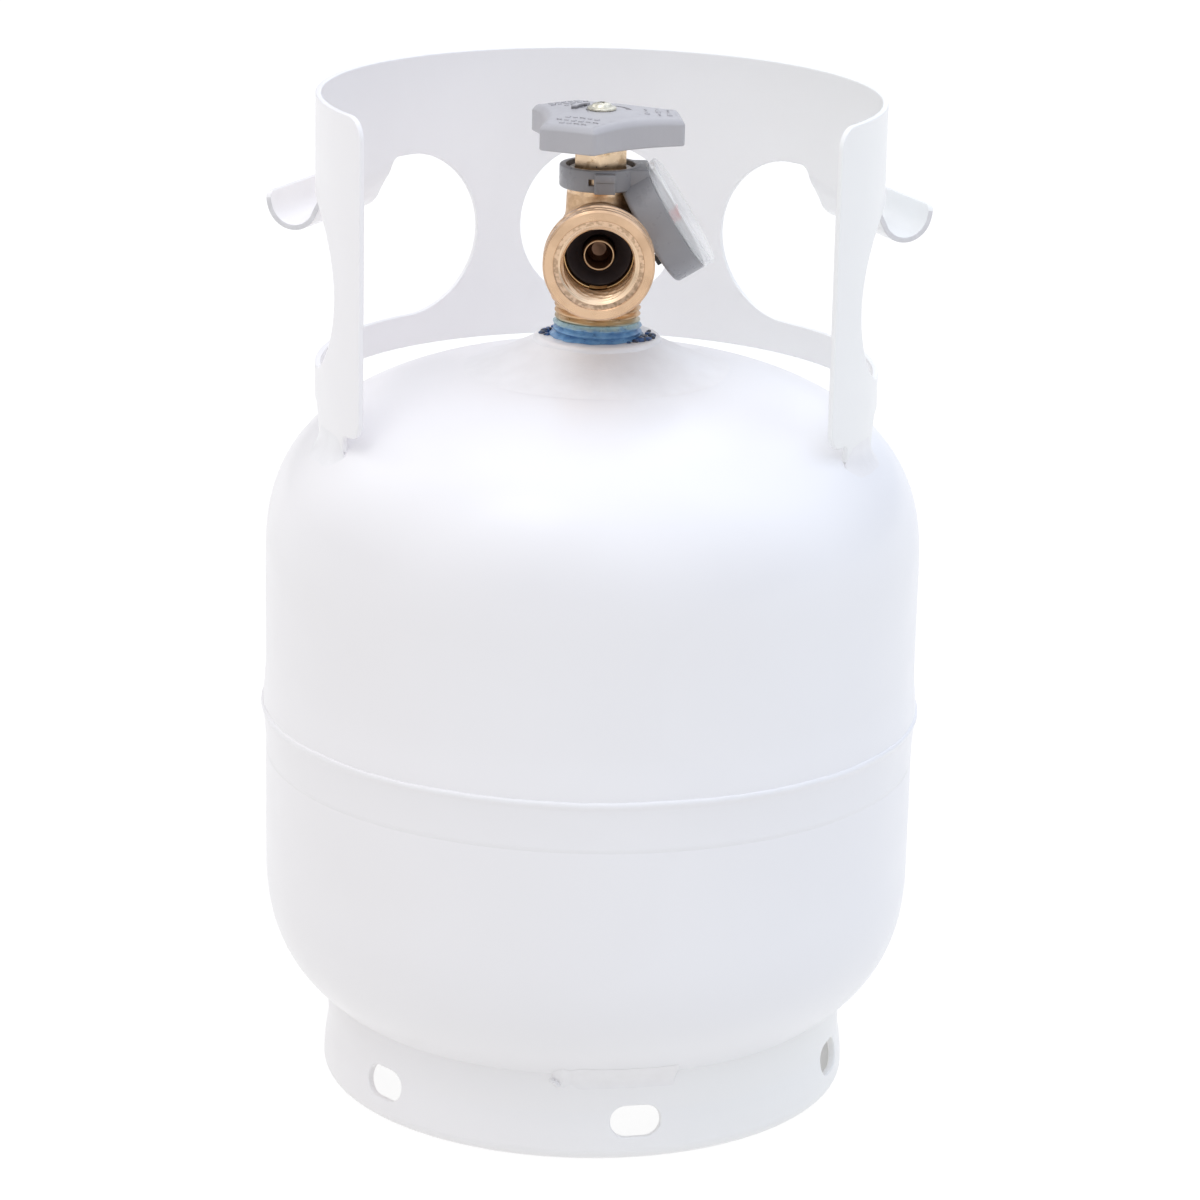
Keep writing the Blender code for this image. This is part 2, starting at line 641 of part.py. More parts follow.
def make_bleed_screw(brass):
    place = bleed_frame()
    screw = turned("bleed_screw", [(0, 11.3), (1.9, 12.6), (1.9, 15.8), (3.4, 15.8), (3.4, 18.2), (2.9, 18.7),
                                   (0, 18.7)], 14, brass, place)
    cut(screw, block("bleed_slot", (-0.5, -5, 17.4), (0.5, 5, 24), brass, place))
    spot = on_wall(BLEED_ANGLE, 11.0, 0)
    tube = frame_on((spot[0], spot[1], 0), (0, 0, 1))
    turned("dip_tube", [(0.6, 178), (1.05, 178), (1.05, 226), (0.6, 226)], 10, brass, tube)


# ---------------------------------------------------------------- float gear

def in_plane(angle, arm):
    """Point round the float's pivot, in the plane y = 0."""
    return (arm * cos(radians(angle)), 0, PIVOT_Z + arm * sin(radians(angle)))


def lever_frame(angle):
    """Local Z points away from the pivot at an angle in the plane y = 0."""
    return frame_on((0, 0, PIVOT_Z), Vector(in_plane(angle, 1)) - Vector((0, 0, PIVOT_Z)))


def rod_frame():
    return frame_on((TAIL_ARM * cos(radians(FLOAT_SWING / 2)) - 0.4, 0, 0), (0, 0, 1))


def make_float_housing(plastic, steel):
    """Tube that hangs from the valve, with a seat for the overfill stop and cheeks for the float's pin."""
    low = PIVOT_Z - 11
    housing = turned("float_housing", [(7.3, low), (9.0, low), (9.0, 242.5), (7.3, 242.5),
                                       (7.3, STOP_SEAT_Z + 2), (2.6, STOP_SEAT_Z + 2), (2.6, STOP_SEAT_Z),
                                       (7.3, STOP_SEAT_Z)], 20, plastic)
    cut(housing, block("arm_window", (-12, -4.6, low - 9), (12, 4.6, PIVOT_Z + 10), plastic))
    pivot = frame_on((0, 0, PIVOT_Z), (0, 1, 0), (0, 0, 1))
    cut(housing, turned("pin_hole", [(0, -12), (1.5, -12), (1.5, 12), (0, 12)], 10, plastic, pivot))
    cut(housing, turned("rod_hole", [(0, STOP_SEAT_Z - 3), (1.15, STOP_SEAT_Z - 3), (1.15, STOP_SEAT_Z + 5),
                                     (0, STOP_SEAT_Z + 5)], 10, plastic, rod_frame()))
    turned("float_pin", [(0, -8.6), (1.2, -8.6), (1.2, 8.6), (0, 8.6)], 10, steel, pivot)


def make_float_arm(plastic, foam):
    """Hub with the float's rod, a tail for the gauge rod and a lobe for the overfill stop."""
    pivot = frame_on((0, 0, PIVOT_Z), (0, 1, 0), (0, 0, 1))
    arm = turned("float_arm", [(1.55, -2.6), (3.1, -2.6), (3.1, 2.6), (1.55, 2.6)], 14, plastic, pivot)
    reach = lever_frame(FLOAT_DOWN)
    end = FLOAT_ARM - 5
    unite(arm, turned("arm_rod", [(0, 2.2), (1.3, 2.2), (1.3, end), (0, end)], 10, plastic, reach))
    unite(arm, block("arm_tail", (-0.8, -2.2, 2.2), (0.8, 2.2, TAIL_ARM + 0.5), plastic,
                     lever_frame(FLOAT_SWING / 2)))
    unite(arm, block("arm_lobe", (-0.8, -1.9, 2.0), (0.8, 1.9, LOBE_ARM + 0.4), plastic,
                     lever_frame(180 + FLOAT_SWING / 2)))
    near = FLOAT_ARM - 18
    far = FLOAT_ARM + 16
    ball = turned("float", [(0, near), (10.0, near), (11.0, near + 1), (11.0, far - 1), (10.0, far), (0, far)],
                  20, foam, reach)
    hole = [(0, near - 3), (1.7, near - 3), (1.7, end + 1), (0, end + 1)]
    cut(ball, turned("float_hole", hole, 10, foam, reach))


def make_stop_and_rod(plastic, rubber, steel, magnet):
    lobe_x, _, lobe_z = in_plane(180 + FLOAT_SWING / 2, LOBE_ARM)
    foot = PIVOT_Z + 7
    head = STOP_SEAT_Z - 2 * LOBE_ARM * sin(radians(FLOAT_SWING / 2)) - GAP
    piston = turned("stop_piston", [(0, foot), (1.6, foot), (1.6, head - 3.5), (3.7, head - 3.5),
                                    (3.7, head - 1.5), (0, head - 1.5)], 14, plastic)
    unite(piston, block("piston_arm", (lobe_x - 1.2, -1.5, foot + 0.2), (1.0, 1.5, foot + 1.8), plastic))
    unite(piston, block("piston_foot", (lobe_x - 1.0, -1.3, lobe_z + LEVER_CLEARANCE),
                        (lobe_x + 1.0, 1.3, foot + 1.0), plastic))
    turned("piston_seal", [(0, head - 1.2), (3.5, head - 1.2), (3.5, head), (0, head)], 14, rubber)
    low = in_plane(FLOAT_SWING / 2, TAIL_ARM)[2] + LEVER_CLEARANCE
    turned("gauge_rod", [(0, low), (0.8, low), (0.8, 248), (0, 248)], 10, steel, rod_frame())
    turned("rod_magnet", [(0, 248.3), (1.1, 248.3), (1.1, 254.3), (0, 254.3)], 10, magnet, rod_frame())


# ---------------------------------------------------------------- gauge

def make_gauge_housing(grey):
    """Drum with a shallow dial cup, a web, and a ring round the valve's neck, all one moulding."""
    place = gauge_frame()
    drum = turned("gauge_housing", [(0, 0.9), (17.0, 0.9), (GAUGE_R, 1.9), (GAUGE_R, 10.6), (0, 10.6)],
                  36, grey, place)
    unite(drum, turned("clip_ring", [(0, RING_LOW), (RING_R, RING_LOW), (RING_R, RING_HIGH), (0, RING_HIGH)],
                       32, grey))
    web = [(6.0, RING_LOW), (12.5, RING_LOW), (15.0, 288.6), (13.4, RING_HIGH - 0.4), (6.0, RING_HIGH - 0.4)]
    edge = Matrix.Rotation(radians(90), 4, 'X')
    unite(drum, prism("clip_web", web, -9, 9, grey, edge, smooth=False))
    cut(drum, turned("dial_cup", [(0, 6.6), (16.5, 6.6), (16.5, 20), (0, 20)], 36, grey, place))
    cut(drum, turned("magnet_pocket", [(0, 2.6), (4.6, 2.6), (4.6, 8), (0, 8)], 16, grey, place))
    cut(drum, turned("neck_room", [(0, 255), (NECK_R + 0.5, 255), (NECK_R + 0.5, 300), (0, 300)], 32, grey))
    return drum


def make_gauge_parts(grey, dark, clear, card, red, steel, magnet):
    block("gauge_latch", (-1.8, -14.7, 285.0), (4.6, -RING_R - GAP, 291.4), grey)
    place = gauge_frame()
    pad = [(-1.9, 7.6, -1.7), (1.9, 10.6, 0.6)]
    down = frame_on(GAUGE_BACK, gauge_axis(), (cos(radians(GAUGE_TILT - 90)), 0, sin(radians(GAUGE_TILT - 90))))
    block("gauge_pad", pad[0], pad[1], dark, down)
    turned("gauge_dial", [(1.2, 7.0), (16.0, 7.0), (16.0, 7.8), (1.2, 7.8)], 32, card, place)
    lens = [(0, 12.2), (16.0, 12.2), (16.0, 8.4), (16.2, 8.4), (16.2, 10.9), (18.3, 10.9), (18.3, 13.7),
            (17.8, 14.2), (0, 14.2)]
    turned("gauge_lens", lens, 36, clear, place)
    turned("pointer_magnet", [(0, 2.9), (4.0, 2.9), (4.0, 5.1), (0, 5.1)], 14, magnet, place)
    turned("pointer_shaft", [(0, 5.4), (0.8, 5.4), (0.8, 9.0), (0, 9.0)], 10, steel, place)
    needle = [(-1.3, -4.0), (1.3, -4.0), (0.9, 4.0), (0.25, 13.5), (-0.25, 13.5), (-0.9, 4.0)]
    prism("gauge_pointer", needle, 9.3, 9.9, red, place, smooth=False)


# ---------------------------------------------------------------- handwheel

def wheel_outline(scale=1.0):
    """Three flat-ended lobes with rounded corners, joined by shallow hollow arcs."""
    corner = (WHEEL_FLAT ** 2 + WHEEL_HALF ** 2) ** 0.5
    away = radians(60) - atan2(WHEEL_HALF, WHEEL_FLAT)
    centre_r = (corner ** 2 - WHEEL_VALLEY_R ** 2) / (2 * (corner * cos(away) - WHEEL_VALLEY_R))
    hollow = centre_r - WHEEL_VALLEY_R
    spread = degrees(acos((centre_r - corner * cos(away)) / hollow))
    corners = []
    for lobe in WHEEL_LOBES:
        middle = radians(lobe)
        for sign in (-1, 1):
            y = sign * WHEEL_HALF
            corners.append((WHEEL_FLAT * cos(middle) - y * sin(middle),
                            WHEEL_FLAT * sin(middle) + y * cos(middle), WHEEL_ROUND))
        valley = lobe + 60
        centre = (centre_r * cos(radians(valley)), centre_r * sin(radians(valley)))
        dip = arc(centre, hollow, valley + 180 + spread, valley + 180 - spread, 9)
        corners += [(x, y, 0) for x, y in dip[1:-1]]
    return [(x * scale, y * scale) for x, y in filleted(corners)]


def make_handwheel(plastic, steel):
    levels = ((0.975, WHEEL_LOW), (1.0, WHEEL_LOW + 0.6), (1.0, WHEEL_HIGH - 2.2), (0.98, WHEEL_HIGH - 0.8),
              (0.93, WHEEL_HIGH))
    wheel = lofted("handwheel", [[(x, y, z) for x, y in wheel_outline(scale)] for scale, z in levels], plastic)
    recess = [(0, 296), (10.3, 296), (10.3, 302.6), (0, 302.6)]
    cut(wheel, turned("hub_recess", recess, 24, plastic))
    cut(wheel, turned("hub_bore", [(0, 300), (2.9, 300), (2.9, 312), (0, 312)], 14, plastic))
    for k, lobe in enumerate(WHEEL_LOBES):
        turn = Matrix.Rotation(radians(lobe), 4, 'Z')
        pocket = filleted([(12.2, -5.0, 1.5), (22.0, -6.2, 1.5), (22.0, 6.2, 1.5), (12.2, 5.0, 1.5)], 2)
        cut(wheel, prism(f"lobe_pocket_{k}", pocket, 296, 304.6, plastic, turn))
    turned("handwheel_screw", [(0, 300.4), (1.5, 300.4), (1.5, WHEEL_HIGH + GAP), (4.45, WHEEL_HIGH + GAP),
                               (4.45, 308.9), (3.6, 309.3), (2.6, 310.3), (1.0, 310.7), (0, 309.7)], 20, steel)


# ---------------------------------------------------------------- the whole object

def main():
    for thing in list(bpy.data.objects):
        bpy.data.objects.remove(thing)
    paint = finish("white_paint", (0.86, 0.86, 0.87), 0.35)
    steel = finish("bare_steel", (0.55, 0.55, 0.56), 0.35, 1.0)
    nickel = finish("nickel", (0.78, 0.77, 0.74), 0.25, 1.0)
    brass = finish("brass", (0.72, 0.50, 0.26), 0.3, 1.0)
    blue = finish("sealant", (0.05, 0.19, 0.55), 0.45)
    rubber = finish("black_rubber", (0.02, 0.02, 0.02), 0.6)
    wheel_grey = finish("wheel_plastic", (0.42, 0.41, 0.42), 0.5)
    gauge_grey = finish("gauge_plastic", (0.22, 0.22, 0.23), 0.45)
    clear = finish("clear_plastic", (0.9, 0.92, 0.94), 0.08, 0.0, 0.35)
    card = finish("dial_card", (0.9, 0.9, 0.88), 0.5)
    red = finish("pointer_red", (0.7, 0.05, 0.04), 0.4)
    black = finish("black_plastic", (0.04, 0.04, 0.045), 0.5)
    foam = finish("float_foam", (0.12, 0.12, 0.13), 0.8)
    magnet = finish("magnet", (0.18, 0.18, 0.19), 0.4, 0.8)
    zinc = finish("zinc_plate", (0.76, 0.72, 0.58), 0.28, 1.0)

    make_upper_shell(paint)
    make_lower_shell(paint)
    make_girth_weld(paint)
    make_boss(steel, paint)
    make_collar(paint)
    for name, (start, end) in (("collar_weld_right", FRONT_FOOT), ("collar_weld_rear", REAR_FOOT),
                               ("collar_weld_left", (360 - FRONT_FOOT[1], 360 - FRONT_FOOT[0]))):
        make_collar_weld(name, start + 1, end - 1, paint)
    make_foot_ring(paint)
    for name, turn in (("foot_weld_front", 0), ("foot_weld_right", 120), ("foot_weld_left", 240)):
        make_foot_weld(name, FOOT_WELD[0] + turn, FOOT_WELD[1] + turn, paint)

    make_valve_body(brass)
    make_thread_sealant(blue)
    make_outlet_inside(brass, rubber, steel)
    make_bonnet(brass, nickel, rubber)
    make_spindles(brass, rubber)
    make_relief(brass, rubber, steel)
    make_bleed_screw(brass)
    make_float_housing(black, steel)
    make_float_arm(black, foam)
    make_stop_and_rod(black, rubber, steel, magnet)
    make_gauge_housing(gauge_grey)
    make_gauge_parts(gauge_grey, black, clear, card, red, steel, magnet)
    make_handwheel(wheel_grey, zinc)


main()
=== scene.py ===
"""Looks of the small propane cylinder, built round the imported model.

Sizes are in millimetres and become metres when a mesh is made. +Z is up, the origin is the centre of the
foot ring on the floor, and the valve's outlet faces -Y. Angles round the cylinder's axis are in degrees
from the front (-Y), growing towards +X.
"""
from math import acos, atan2, cos, degrees, pi, radians, sin, tan

import bmesh
import bpy
from mathutils import Matrix, Vector, noise


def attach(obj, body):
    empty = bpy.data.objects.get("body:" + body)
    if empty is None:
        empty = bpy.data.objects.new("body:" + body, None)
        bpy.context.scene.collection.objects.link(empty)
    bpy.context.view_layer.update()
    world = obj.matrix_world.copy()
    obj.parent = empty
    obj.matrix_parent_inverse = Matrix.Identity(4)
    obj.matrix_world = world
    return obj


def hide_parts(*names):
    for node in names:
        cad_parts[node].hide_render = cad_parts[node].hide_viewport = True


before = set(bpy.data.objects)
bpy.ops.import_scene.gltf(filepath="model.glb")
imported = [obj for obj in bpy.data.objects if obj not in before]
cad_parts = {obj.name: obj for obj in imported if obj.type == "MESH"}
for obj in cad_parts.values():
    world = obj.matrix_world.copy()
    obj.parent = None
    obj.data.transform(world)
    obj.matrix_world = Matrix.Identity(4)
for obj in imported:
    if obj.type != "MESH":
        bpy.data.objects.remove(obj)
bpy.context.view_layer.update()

MM = 0.001
SAME_POINT = 0.0000005

# Cylinder body
BODY_R = 101.6
SHEET = 2.0
HEAD_DEPTH = 62.0
HEAD_POWER = 2.57
TOP_TANGENT = 168.8
BOTTOM_TANGENT = 72.4
SEAM_Z = 121.5
JOGGLE_Z = 107.5
LAP_TOP = 134.0
SEAM_FLARE = 0.9
BEAD_R = 103.25
SHELL_STEPS = 192

# Collar
COLLAR_R = 86.5
COLLAR_WALL = 1.8
COLLAR_MIDDLE = COLLAR_R - COLLAR_WALL / 2
COLLAR_TURN = degrees(1 / COLLAR_MIDDLE)    # for each millimetre of flat sheet
COLLAR_TOP = 313.3
COLLAR_EDGE = 54.5
POST_BOTTOM = 216.0
STRAP_BOTTOM = 219.5
FOOT_BOTTOM = 211.8
FRONT_FOOT = (61.0, 76.0)
REAR_FOOT = (173.0, 187.0)
WINDOW_R = 26.0
WINDOW_Z = 256.0
WINDOW_ENDS = (83.0, 135.0)
HOOK_ANGLE = 114.75
HOOK_HALF = 14.25
HOOK_ROOT_Z = 282.5
HOOK_R = 8.3
HOOK_OUT = 12.0
HOOK_Z = 274.2
HOOK_SHEET = 1.7

# Foot ring
FOOT_R = 81.7
FOOT_WALL = 2.2
SLOT_COUNT = 6
SLOT_FIRST = 11.7
SLOT_Z = 12.4
SLOT_LONG = 15.5
SLOT_HIGH = 10.0
FOOT_WELD = (-6.4, 20.3)

# Valve
BOSS_R = 20.0
BOSS_TOP = 239.0
BOSS_BOTTOM = 222.0
THREAD_TOP = 251.6
THREAD_R = 13.32
THREAD_TAPER = 0.03125
THREAD_PITCH = 1.814
OUTLET_Z = 269.5
OUTLET_R = 16.67
OUTLET_END = 42.5
ACME_PITCH = 4.23
SOCKET_PITCH = 1.81
NECK_R = 10.1
NECK_TOP = 289.5
BONNET_FLATS = 15.5
RELIEF_Z = 257.0
BLEED_Z = 249.0
BLEED_ANGLE = 221.0
SEALANT_LUMPS = ((-96, 15.9, 1.5), (-88, 16.9, 1.1), (-104, 15.4, 1.2), (-80, 15.6, 1.0), (-112, 16.2, 0.7),
                 (58, 15.6, 1.7), (66, 16.8, 1.3), (75, 17.4, 1.1), (50, 15.3, 1.1), (84, 16.9, 1.2),
                 (93, 15.6, 1.0), (70, 15.2, 1.5), (40, 15.1, 0.7), (104, 16.4, 0.8), (-120, 15.5, 0.9))

# Gauge
GAUGE_TILT = 32.0
GAUGE_BACK = (14.0, 0.0, 271.0)
GAUGE_WELL_Z = 262.3
GAUGE_R = 18.0
PRINT_HEIGHTS = (7.82, 7.9)
RING_LOW = 285.2
RING_HIGH = 292.0
RING_R = 12.5

# Handwheel
WHEEL_LOW = 299.1
WHEEL_HIGH = 308.0
WHEEL_FLAT = 24.6
WHEEL_HALF = 9.2
WHEEL_ROUND = 1.7
WHEEL_VALLEY_R = 17.3
WHEEL_LOBES = (5.0, 125.0, 245.0)
DASH_ROWS = (13.5, 17.2, 20.4)
DASH_COUNTS = {245: (5, 6, 4), 5: (4, 5, 4), 125: (4, 6, 5)}


# ---------------------------------------------------------------- node materials

class Nodes:
    """Short calls for building a node tree."""

    def __init__(self, tree):
        self.nodes = tree.nodes
        self.links = tree.links

    def feed(self, socket, value):
        if isinstance(value, bpy.types.NodeSocket):
            self.links.new(value, socket)
        elif isinstance(value, tuple) and len(value) == 3 and socket.type == 'RGBA':
            socket.default_value = (*value, 1.0)
        elif value is not None:
            socket.default_value = value

    def add(self, kind, *inputs, **settings):
        """A node whose inputs are filled in order; None leaves one as it is."""
        made = self.nodes.new("ShaderNode" + kind)
        for key, value in settings.items():
            setattr(made, key, value)
        for socket, value in zip(made.inputs, inputs):
            self.feed(socket, value)
        return made

    def maths(self, operation, *values):
        return self.add("Math", *values, operation=operation).outputs[0]

    def mix(self, factor, first, second, clamp=True):
        made = self.add("Mix", data_type='RGBA', clamp_factor=clamp)
        for index, value in ((0, factor), (6, first), (7, second)):
            self.feed(made.inputs[index], value)
        return made.outputs[2]


class Finish(Nodes):
    """A Principled material with short calls for procedural detail."""

    def __init__(self, name, roughness=0.5, metallic=0.0, **sockets):
        self.material = bpy.data.materials.new(name)
        self.material.use_nodes = True
        super().__init__(self.material.node_tree)
        self.shader = self.nodes["Principled BSDF"]
        self.shader.inputs["Roughness"].default_value = roughness
        self.shader.inputs["Metallic"].default_value = metallic
        for socket, value in sockets.items():
            self.shader.inputs[socket.replace("_", " ")].default_value = value
        self.place = self.nodes.new("ShaderNodeTexCoord").outputs["Object"]
        self.height = None

    def noise(self, scale, detail=2.0, stretch=(1, 1, 1)):
        """Noise from 0 to 1; scale is in cycles per metre."""
        place = self.place
        if stretch != (1, 1, 1):
            place = self.add("VectorMath", place, stretch, operation='MULTIPLY').outputs[0]
        made = self.add("TexNoise")
        for socket, value in (("Vector", place), ("Scale", scale), ("Detail", detail), ("Roughness", 0.5)):
            self.feed(made.inputs[socket], value)
        return made.outputs["Fac"]

    def axis(self, letter):
        """One coordinate of the point, in metres."""
        return self.add("SeparateXYZ", self.place).outputs[letter]

    def between(self, value, low, high, out_low=0.0, out_high=1.0):
        """Linear map of a value, held at its ends."""
        return self.add("MapRange", value, low, high, out_low, out_high).outputs[0]

    def spread(self, scale, detail, low, high, out_low=0.0, out_high=1.0):
        """Noise mapped linearly, held at its ends."""
        return self.between(self.noise(scale, detail), low, high, out_low, out_high)

    def colour(self, value):
        self.feed(self.shader.inputs["Base Color"], value)

    def rough(self, value):
        self.feed(self.shader.inputs["Roughness"], value)

    def bump(self, height, depth):
        """Adds a height from 0 to 1 that stands depth millimetres high."""
        made = self.add("Bump")
        made.inputs["Strength"].default_value = 1.0
        made.inputs["Distance"].default_value = depth * MM
        self.links.new(height, made.inputs["Height"])
        if self.height is not None:
            self.links.new(self.height, made.inputs["Normal"])
        self.height = made.outputs["Normal"]
        self.links.new(self.height, self.shader.inputs["Normal"])

    def surface(self, gloss, *bumps):
        """Roughness from noise (scale, detail, low, high) or None, and bumps (scale, detail, depth)."""
        if gloss:
            scale, detail, low, high = gloss
            self.rough(self.spread(scale, detail, 0.3, 0.7, low, high))
        for scale, detail, depth in bumps:
            self.bump(self.noise(scale, detail), depth)
        return self.material


def two_toned(name, roughness, metallic, tones, gloss, *bumps, **sockets):
    """Finish of two tones mixed by noise; tones is (scale, detail, low, high, first, second)."""
    f = Finish(name, roughness, metallic, **sockets)
    f.colour(f.mix(f.spread(*tones[:4]), tones[4], tones[5]))
    return f.surface(gloss, *bumps)


def white_paint(name, lift=0.0):
    """Satin powder coat: a little orange peel, faint patches, painted cool light that makes it a hint bluer towards +X,
    and painted light from lift, which brightens it in place of more light.
    """
    f = Finish(name, 0.34, 0.0, Coat_Weight=0.2, Coat_Roughness=0.16)
    patches = f.spread(14, 3, 0.35, 0.65)
    # lift is painted light: it brightens the tones in place of more light.
    left = f.mix(patches, (0.926 + lift, 0.906 + lift, 0.905 + lift), (0.940 + lift, 0.922 + lift, 0.924 + lift))
    # Painted cool light: towards +X the paint is tinted bluer.
    right = f.mix(patches, (0.918 + lift, 0.922 + lift, 0.944), (0.930 + lift, 0.936 + lift, 0.958))
    f.colour(f.mix(f.between(f.axis("X"), -0.06, 0.10), left, right))
    return f.surface((60, 3, 0.29, 0.40), (55, 2, 0.09), (650, 2, 0.014))


def brass_forged():
    f = Finish("forged_brass", 0.42, 1.0)
    base = f.mix(f.spread(90, 4, 0.35, 0.7), (0.70, 0.475, 0.285), (0.54, 0.35, 0.20))
    f.colour(f.mix(f.spread(700, 2, 0.45, 0.75), base, (0.76, 0.54, 0.34)))
    return f.surface((260, 3, 0.34, 0.56), (330, 3, 0.10), (1700, 2, 0.02))


def tool_marks(f, axis):
    """Fine marks of turning round an axis, in gloss and height."""
    marks = f.noise(1.0, 2, tuple(5200 if letter == axis else 60 for letter in "XYZ"))
    f.rough(f.between(marks, 0.3, 0.7, 0.2, 0.38))
    f.bump(marks, 0.012)


def ripples(f, value, pitch, depth):
    """Regular fine waves along a value in metres; pitch is in radians per metre."""
    f.bump(f.maths('SINE', f.maths('MULTIPLY', value, pitch)), depth)


def brass_turned(name, axis, base=(0.80, 0.57, 0.37), worn=(0.66, 0.44, 0.26)):
    """Machined brass whose tool marks run round an axis."""
    f = Finish(name, 0.27, 1.0)
    f.colour(f.mix(f.spread(150, 4, 0.42, 0.72), base, worn))
    tool_marks(f, axis)
    ripples(f, f.axis(axis), 9000.0, 0.002)
    return f.material


def outlet_brass():
    """Machined brass of the outlet: pale in the bore, dull and speckled on the sunk ring of the face."""
    f = Finish("turned_brass_outlet", 0.27, 1.0)
    across = f.axis("X")
    high = f.maths('SUBTRACT', f.axis("Z"), OUTLET_Z * MM)
    reach = f.maths('SQRT', f.maths('ADD', f.maths('MULTIPLY', across, across), f.maths('MULTIPLY', high, high)))
    front = f.between(f.axis("Y"), -(OUTLET_END - 2.2) * MM, -(OUTLET_END - 1.6) * MM)
    sunk = f.maths('MULTIPLY', f.between(reach, 0.01205, 0.01215), f.between(reach, 0.01345, 0.01355, 1.0, 0.0))
    speckled = f.mix(f.spread(900, 2, 0.42, 0.58), (0.46, 0.31, 0.20), (0.70, 0.49, 0.33))
    plain = f.mix(f.spread(150, 4, 0.42, 0.72), (0.72, 0.49, 0.315), (0.56, 0.37, 0.23))
    bored = f.mix(f.between(reach, 0.0119, 0.0123), (0.82, 0.62, 0.43), plain)
    f.colour(f.mix(f.maths('MULTIPLY', front, sunk), bored, speckled))
    tool_marks(f, "Y")
    ripples(f, reach, 11000.0, 0.005)
    return f.material


def nozzle_brass():
    """Brass of the check nozzle: bright lip, and painted dark shade below it, deep in the outlet's bore."""
    f = Finish("turned_brass_nozzle", 0.3, 1.0)
    lip = f.mix(f.noise(400, 2), (0.74, 0.50, 0.30), (0.62, 0.40, 0.22))
    # Painted shade: below the lip the nozzle is painted dark, as the outlet's bore shades it.
    painted_shade = f.mix(f.noise(260, 3), (0.13, 0.072, 0.045), (0.24, 0.14, 0.09))
    f.colour(f.mix(f.between(f.axis("Y"), -0.0274, -0.0266), lip, painted_shade))
    return f.surface((600, 2, 0.3, 0.5), (900, 2, 0.02))


def hex_brass():
    """Drawn hexagon bar with dark spots, darker towards its foot."""
    f = Finish("drawn_hex_brass", 0.36, 1.0)
    base = f.mix(f.between(f.axis("Z"), 0.2912, 0.2926), (0.60, 0.40, 0.21), (0.90, 0.69, 0.47))
    spots = f.maths('MULTIPLY', f.spread(420, 3, 0.52, 0.66), 0.55)
    f.colour(f.mix(spots, base, (0.46, 0.29, 0.14)))
    f.surface((500, 3, 0.24, 0.44))
    f.bump(f.noise(1.0, 2, (3000, 3000, 160)), 0.02)
    return f.material


def thread_brass():
    """Pipe thread above the sealant, with a teal film in its roots."""
    f = Finish("thread_brass", 0.33, 1.0)
    f.colour(f.mix(f.between(f.axis("Z"), 0.2440, 0.2462), (0.46, 0.46, 0.36), (0.72, 0.49, 0.29)))
    return f.surface((500, 2, 0.25, 0.45), (900, 2, 0.03))


def sealant_blue():
    """Blue thread sealant: pale and teal where it is thin near the top, deep where it is thick."""
    f = Finish("blue_thread_sealant", 0.38, 0.0, Coat_Weight=0.3, Coat_Roughness=0.25)
    height = f.between(f.axis("Z"), 0.2400, 0.2445)
    ragged = f.maths('ADD', height, f.spread(260, 4, 0.3, 0.7, -0.25, 0.25))
    deep = f.mix(f.spread(320, 3, 0.4, 0.62), (0.125, 0.28, 0.52), (0.22, 0.43, 0.66))
    thin = f.mix(f.spread(500, 3, 0.35, 0.65), (0.30, 0.47, 0.52), (0.43, 0.58, 0.60))
    tone = f.mix(f.between(ragged, 0.45, 0.75), deep, thin)
    dark = f.maths('MULTIPLY', f.spread(650, 2, 0.62, 0.70), 0.45)
    f.colour(f.mix(dark, tone, (0.03, 0.07, 0.17)))
    return f.surface(None, (420, 3, 0.12))


def moulded(name, tone, shift, rough, grain=0.02):
    """Moulded plastic with a fine grain and faint flow patches."""
    darker = tuple(part * (1 - shift) for part in tone)
    return two_toned(name, rough, 0.0, (45, 3, 0.35, 0.65, tone, darker), (300, 2, rough - 0.05, rough + 0.07),
                     (1500, 3, grain), (120, 2, 0.05))


def plated(name, base, rough, metallic=1.0):
    darker = tuple(part * 0.72 for part in base)
    return two_toned(name, rough, metallic, (500, 3, 0.42, 0.72, base, darker),
                     (700, 2, rough - 0.06, rough + 0.12), (1100, 2, 0.02))


def clear_plastic():
    """Clear cap gone slightly milky."""
    f = Finish("milky_polycarbonate", 0.16, 0.0, IOR=1.49, Alpha=0.34, Coat_Weight=0.5, Coat_Roughness=0.06)
    f.colour(f.mix(f.noise(60, 2), (0.93, 0.94, 0.95), (0.97, 0.975, 0.98)))
    f.bump(f.noise(70, 2), 0.02)
    f.rough(f.spread(400, 2, 0.4, 0.8, 0.12, 0.24))
    return f.material


def printed(name, tone):
    f = Finish(name, 0.45, 0.0)
    f.colour(f.mix(f.noise(900, 2), tone, tuple(part * 0.94 for part in tone)))
    return f.surface(None, (1500, 2, 0.006))


PAINT = white_paint("white_powder_coat")
# A copy of the white paint painted brighter, standing in for light; the collar and the foot ring wear it.
PAINT_LIT_BRIGHTER = white_paint("white_powder_coat_painted_brighter", 0.036)
WELD = two_toned("white_paint_on_weld", 0.36, 0.0,
                 (180, 3, 0.3, 0.7, (0.915, 0.903, 0.906), (0.945, 0.936, 0.941)), (200, 2, 0.3, 0.44),
                 (260, 3, 0.13), (900, 2, 0.0195), Coat_Weight=0.2, Coat_Roughness=0.18)
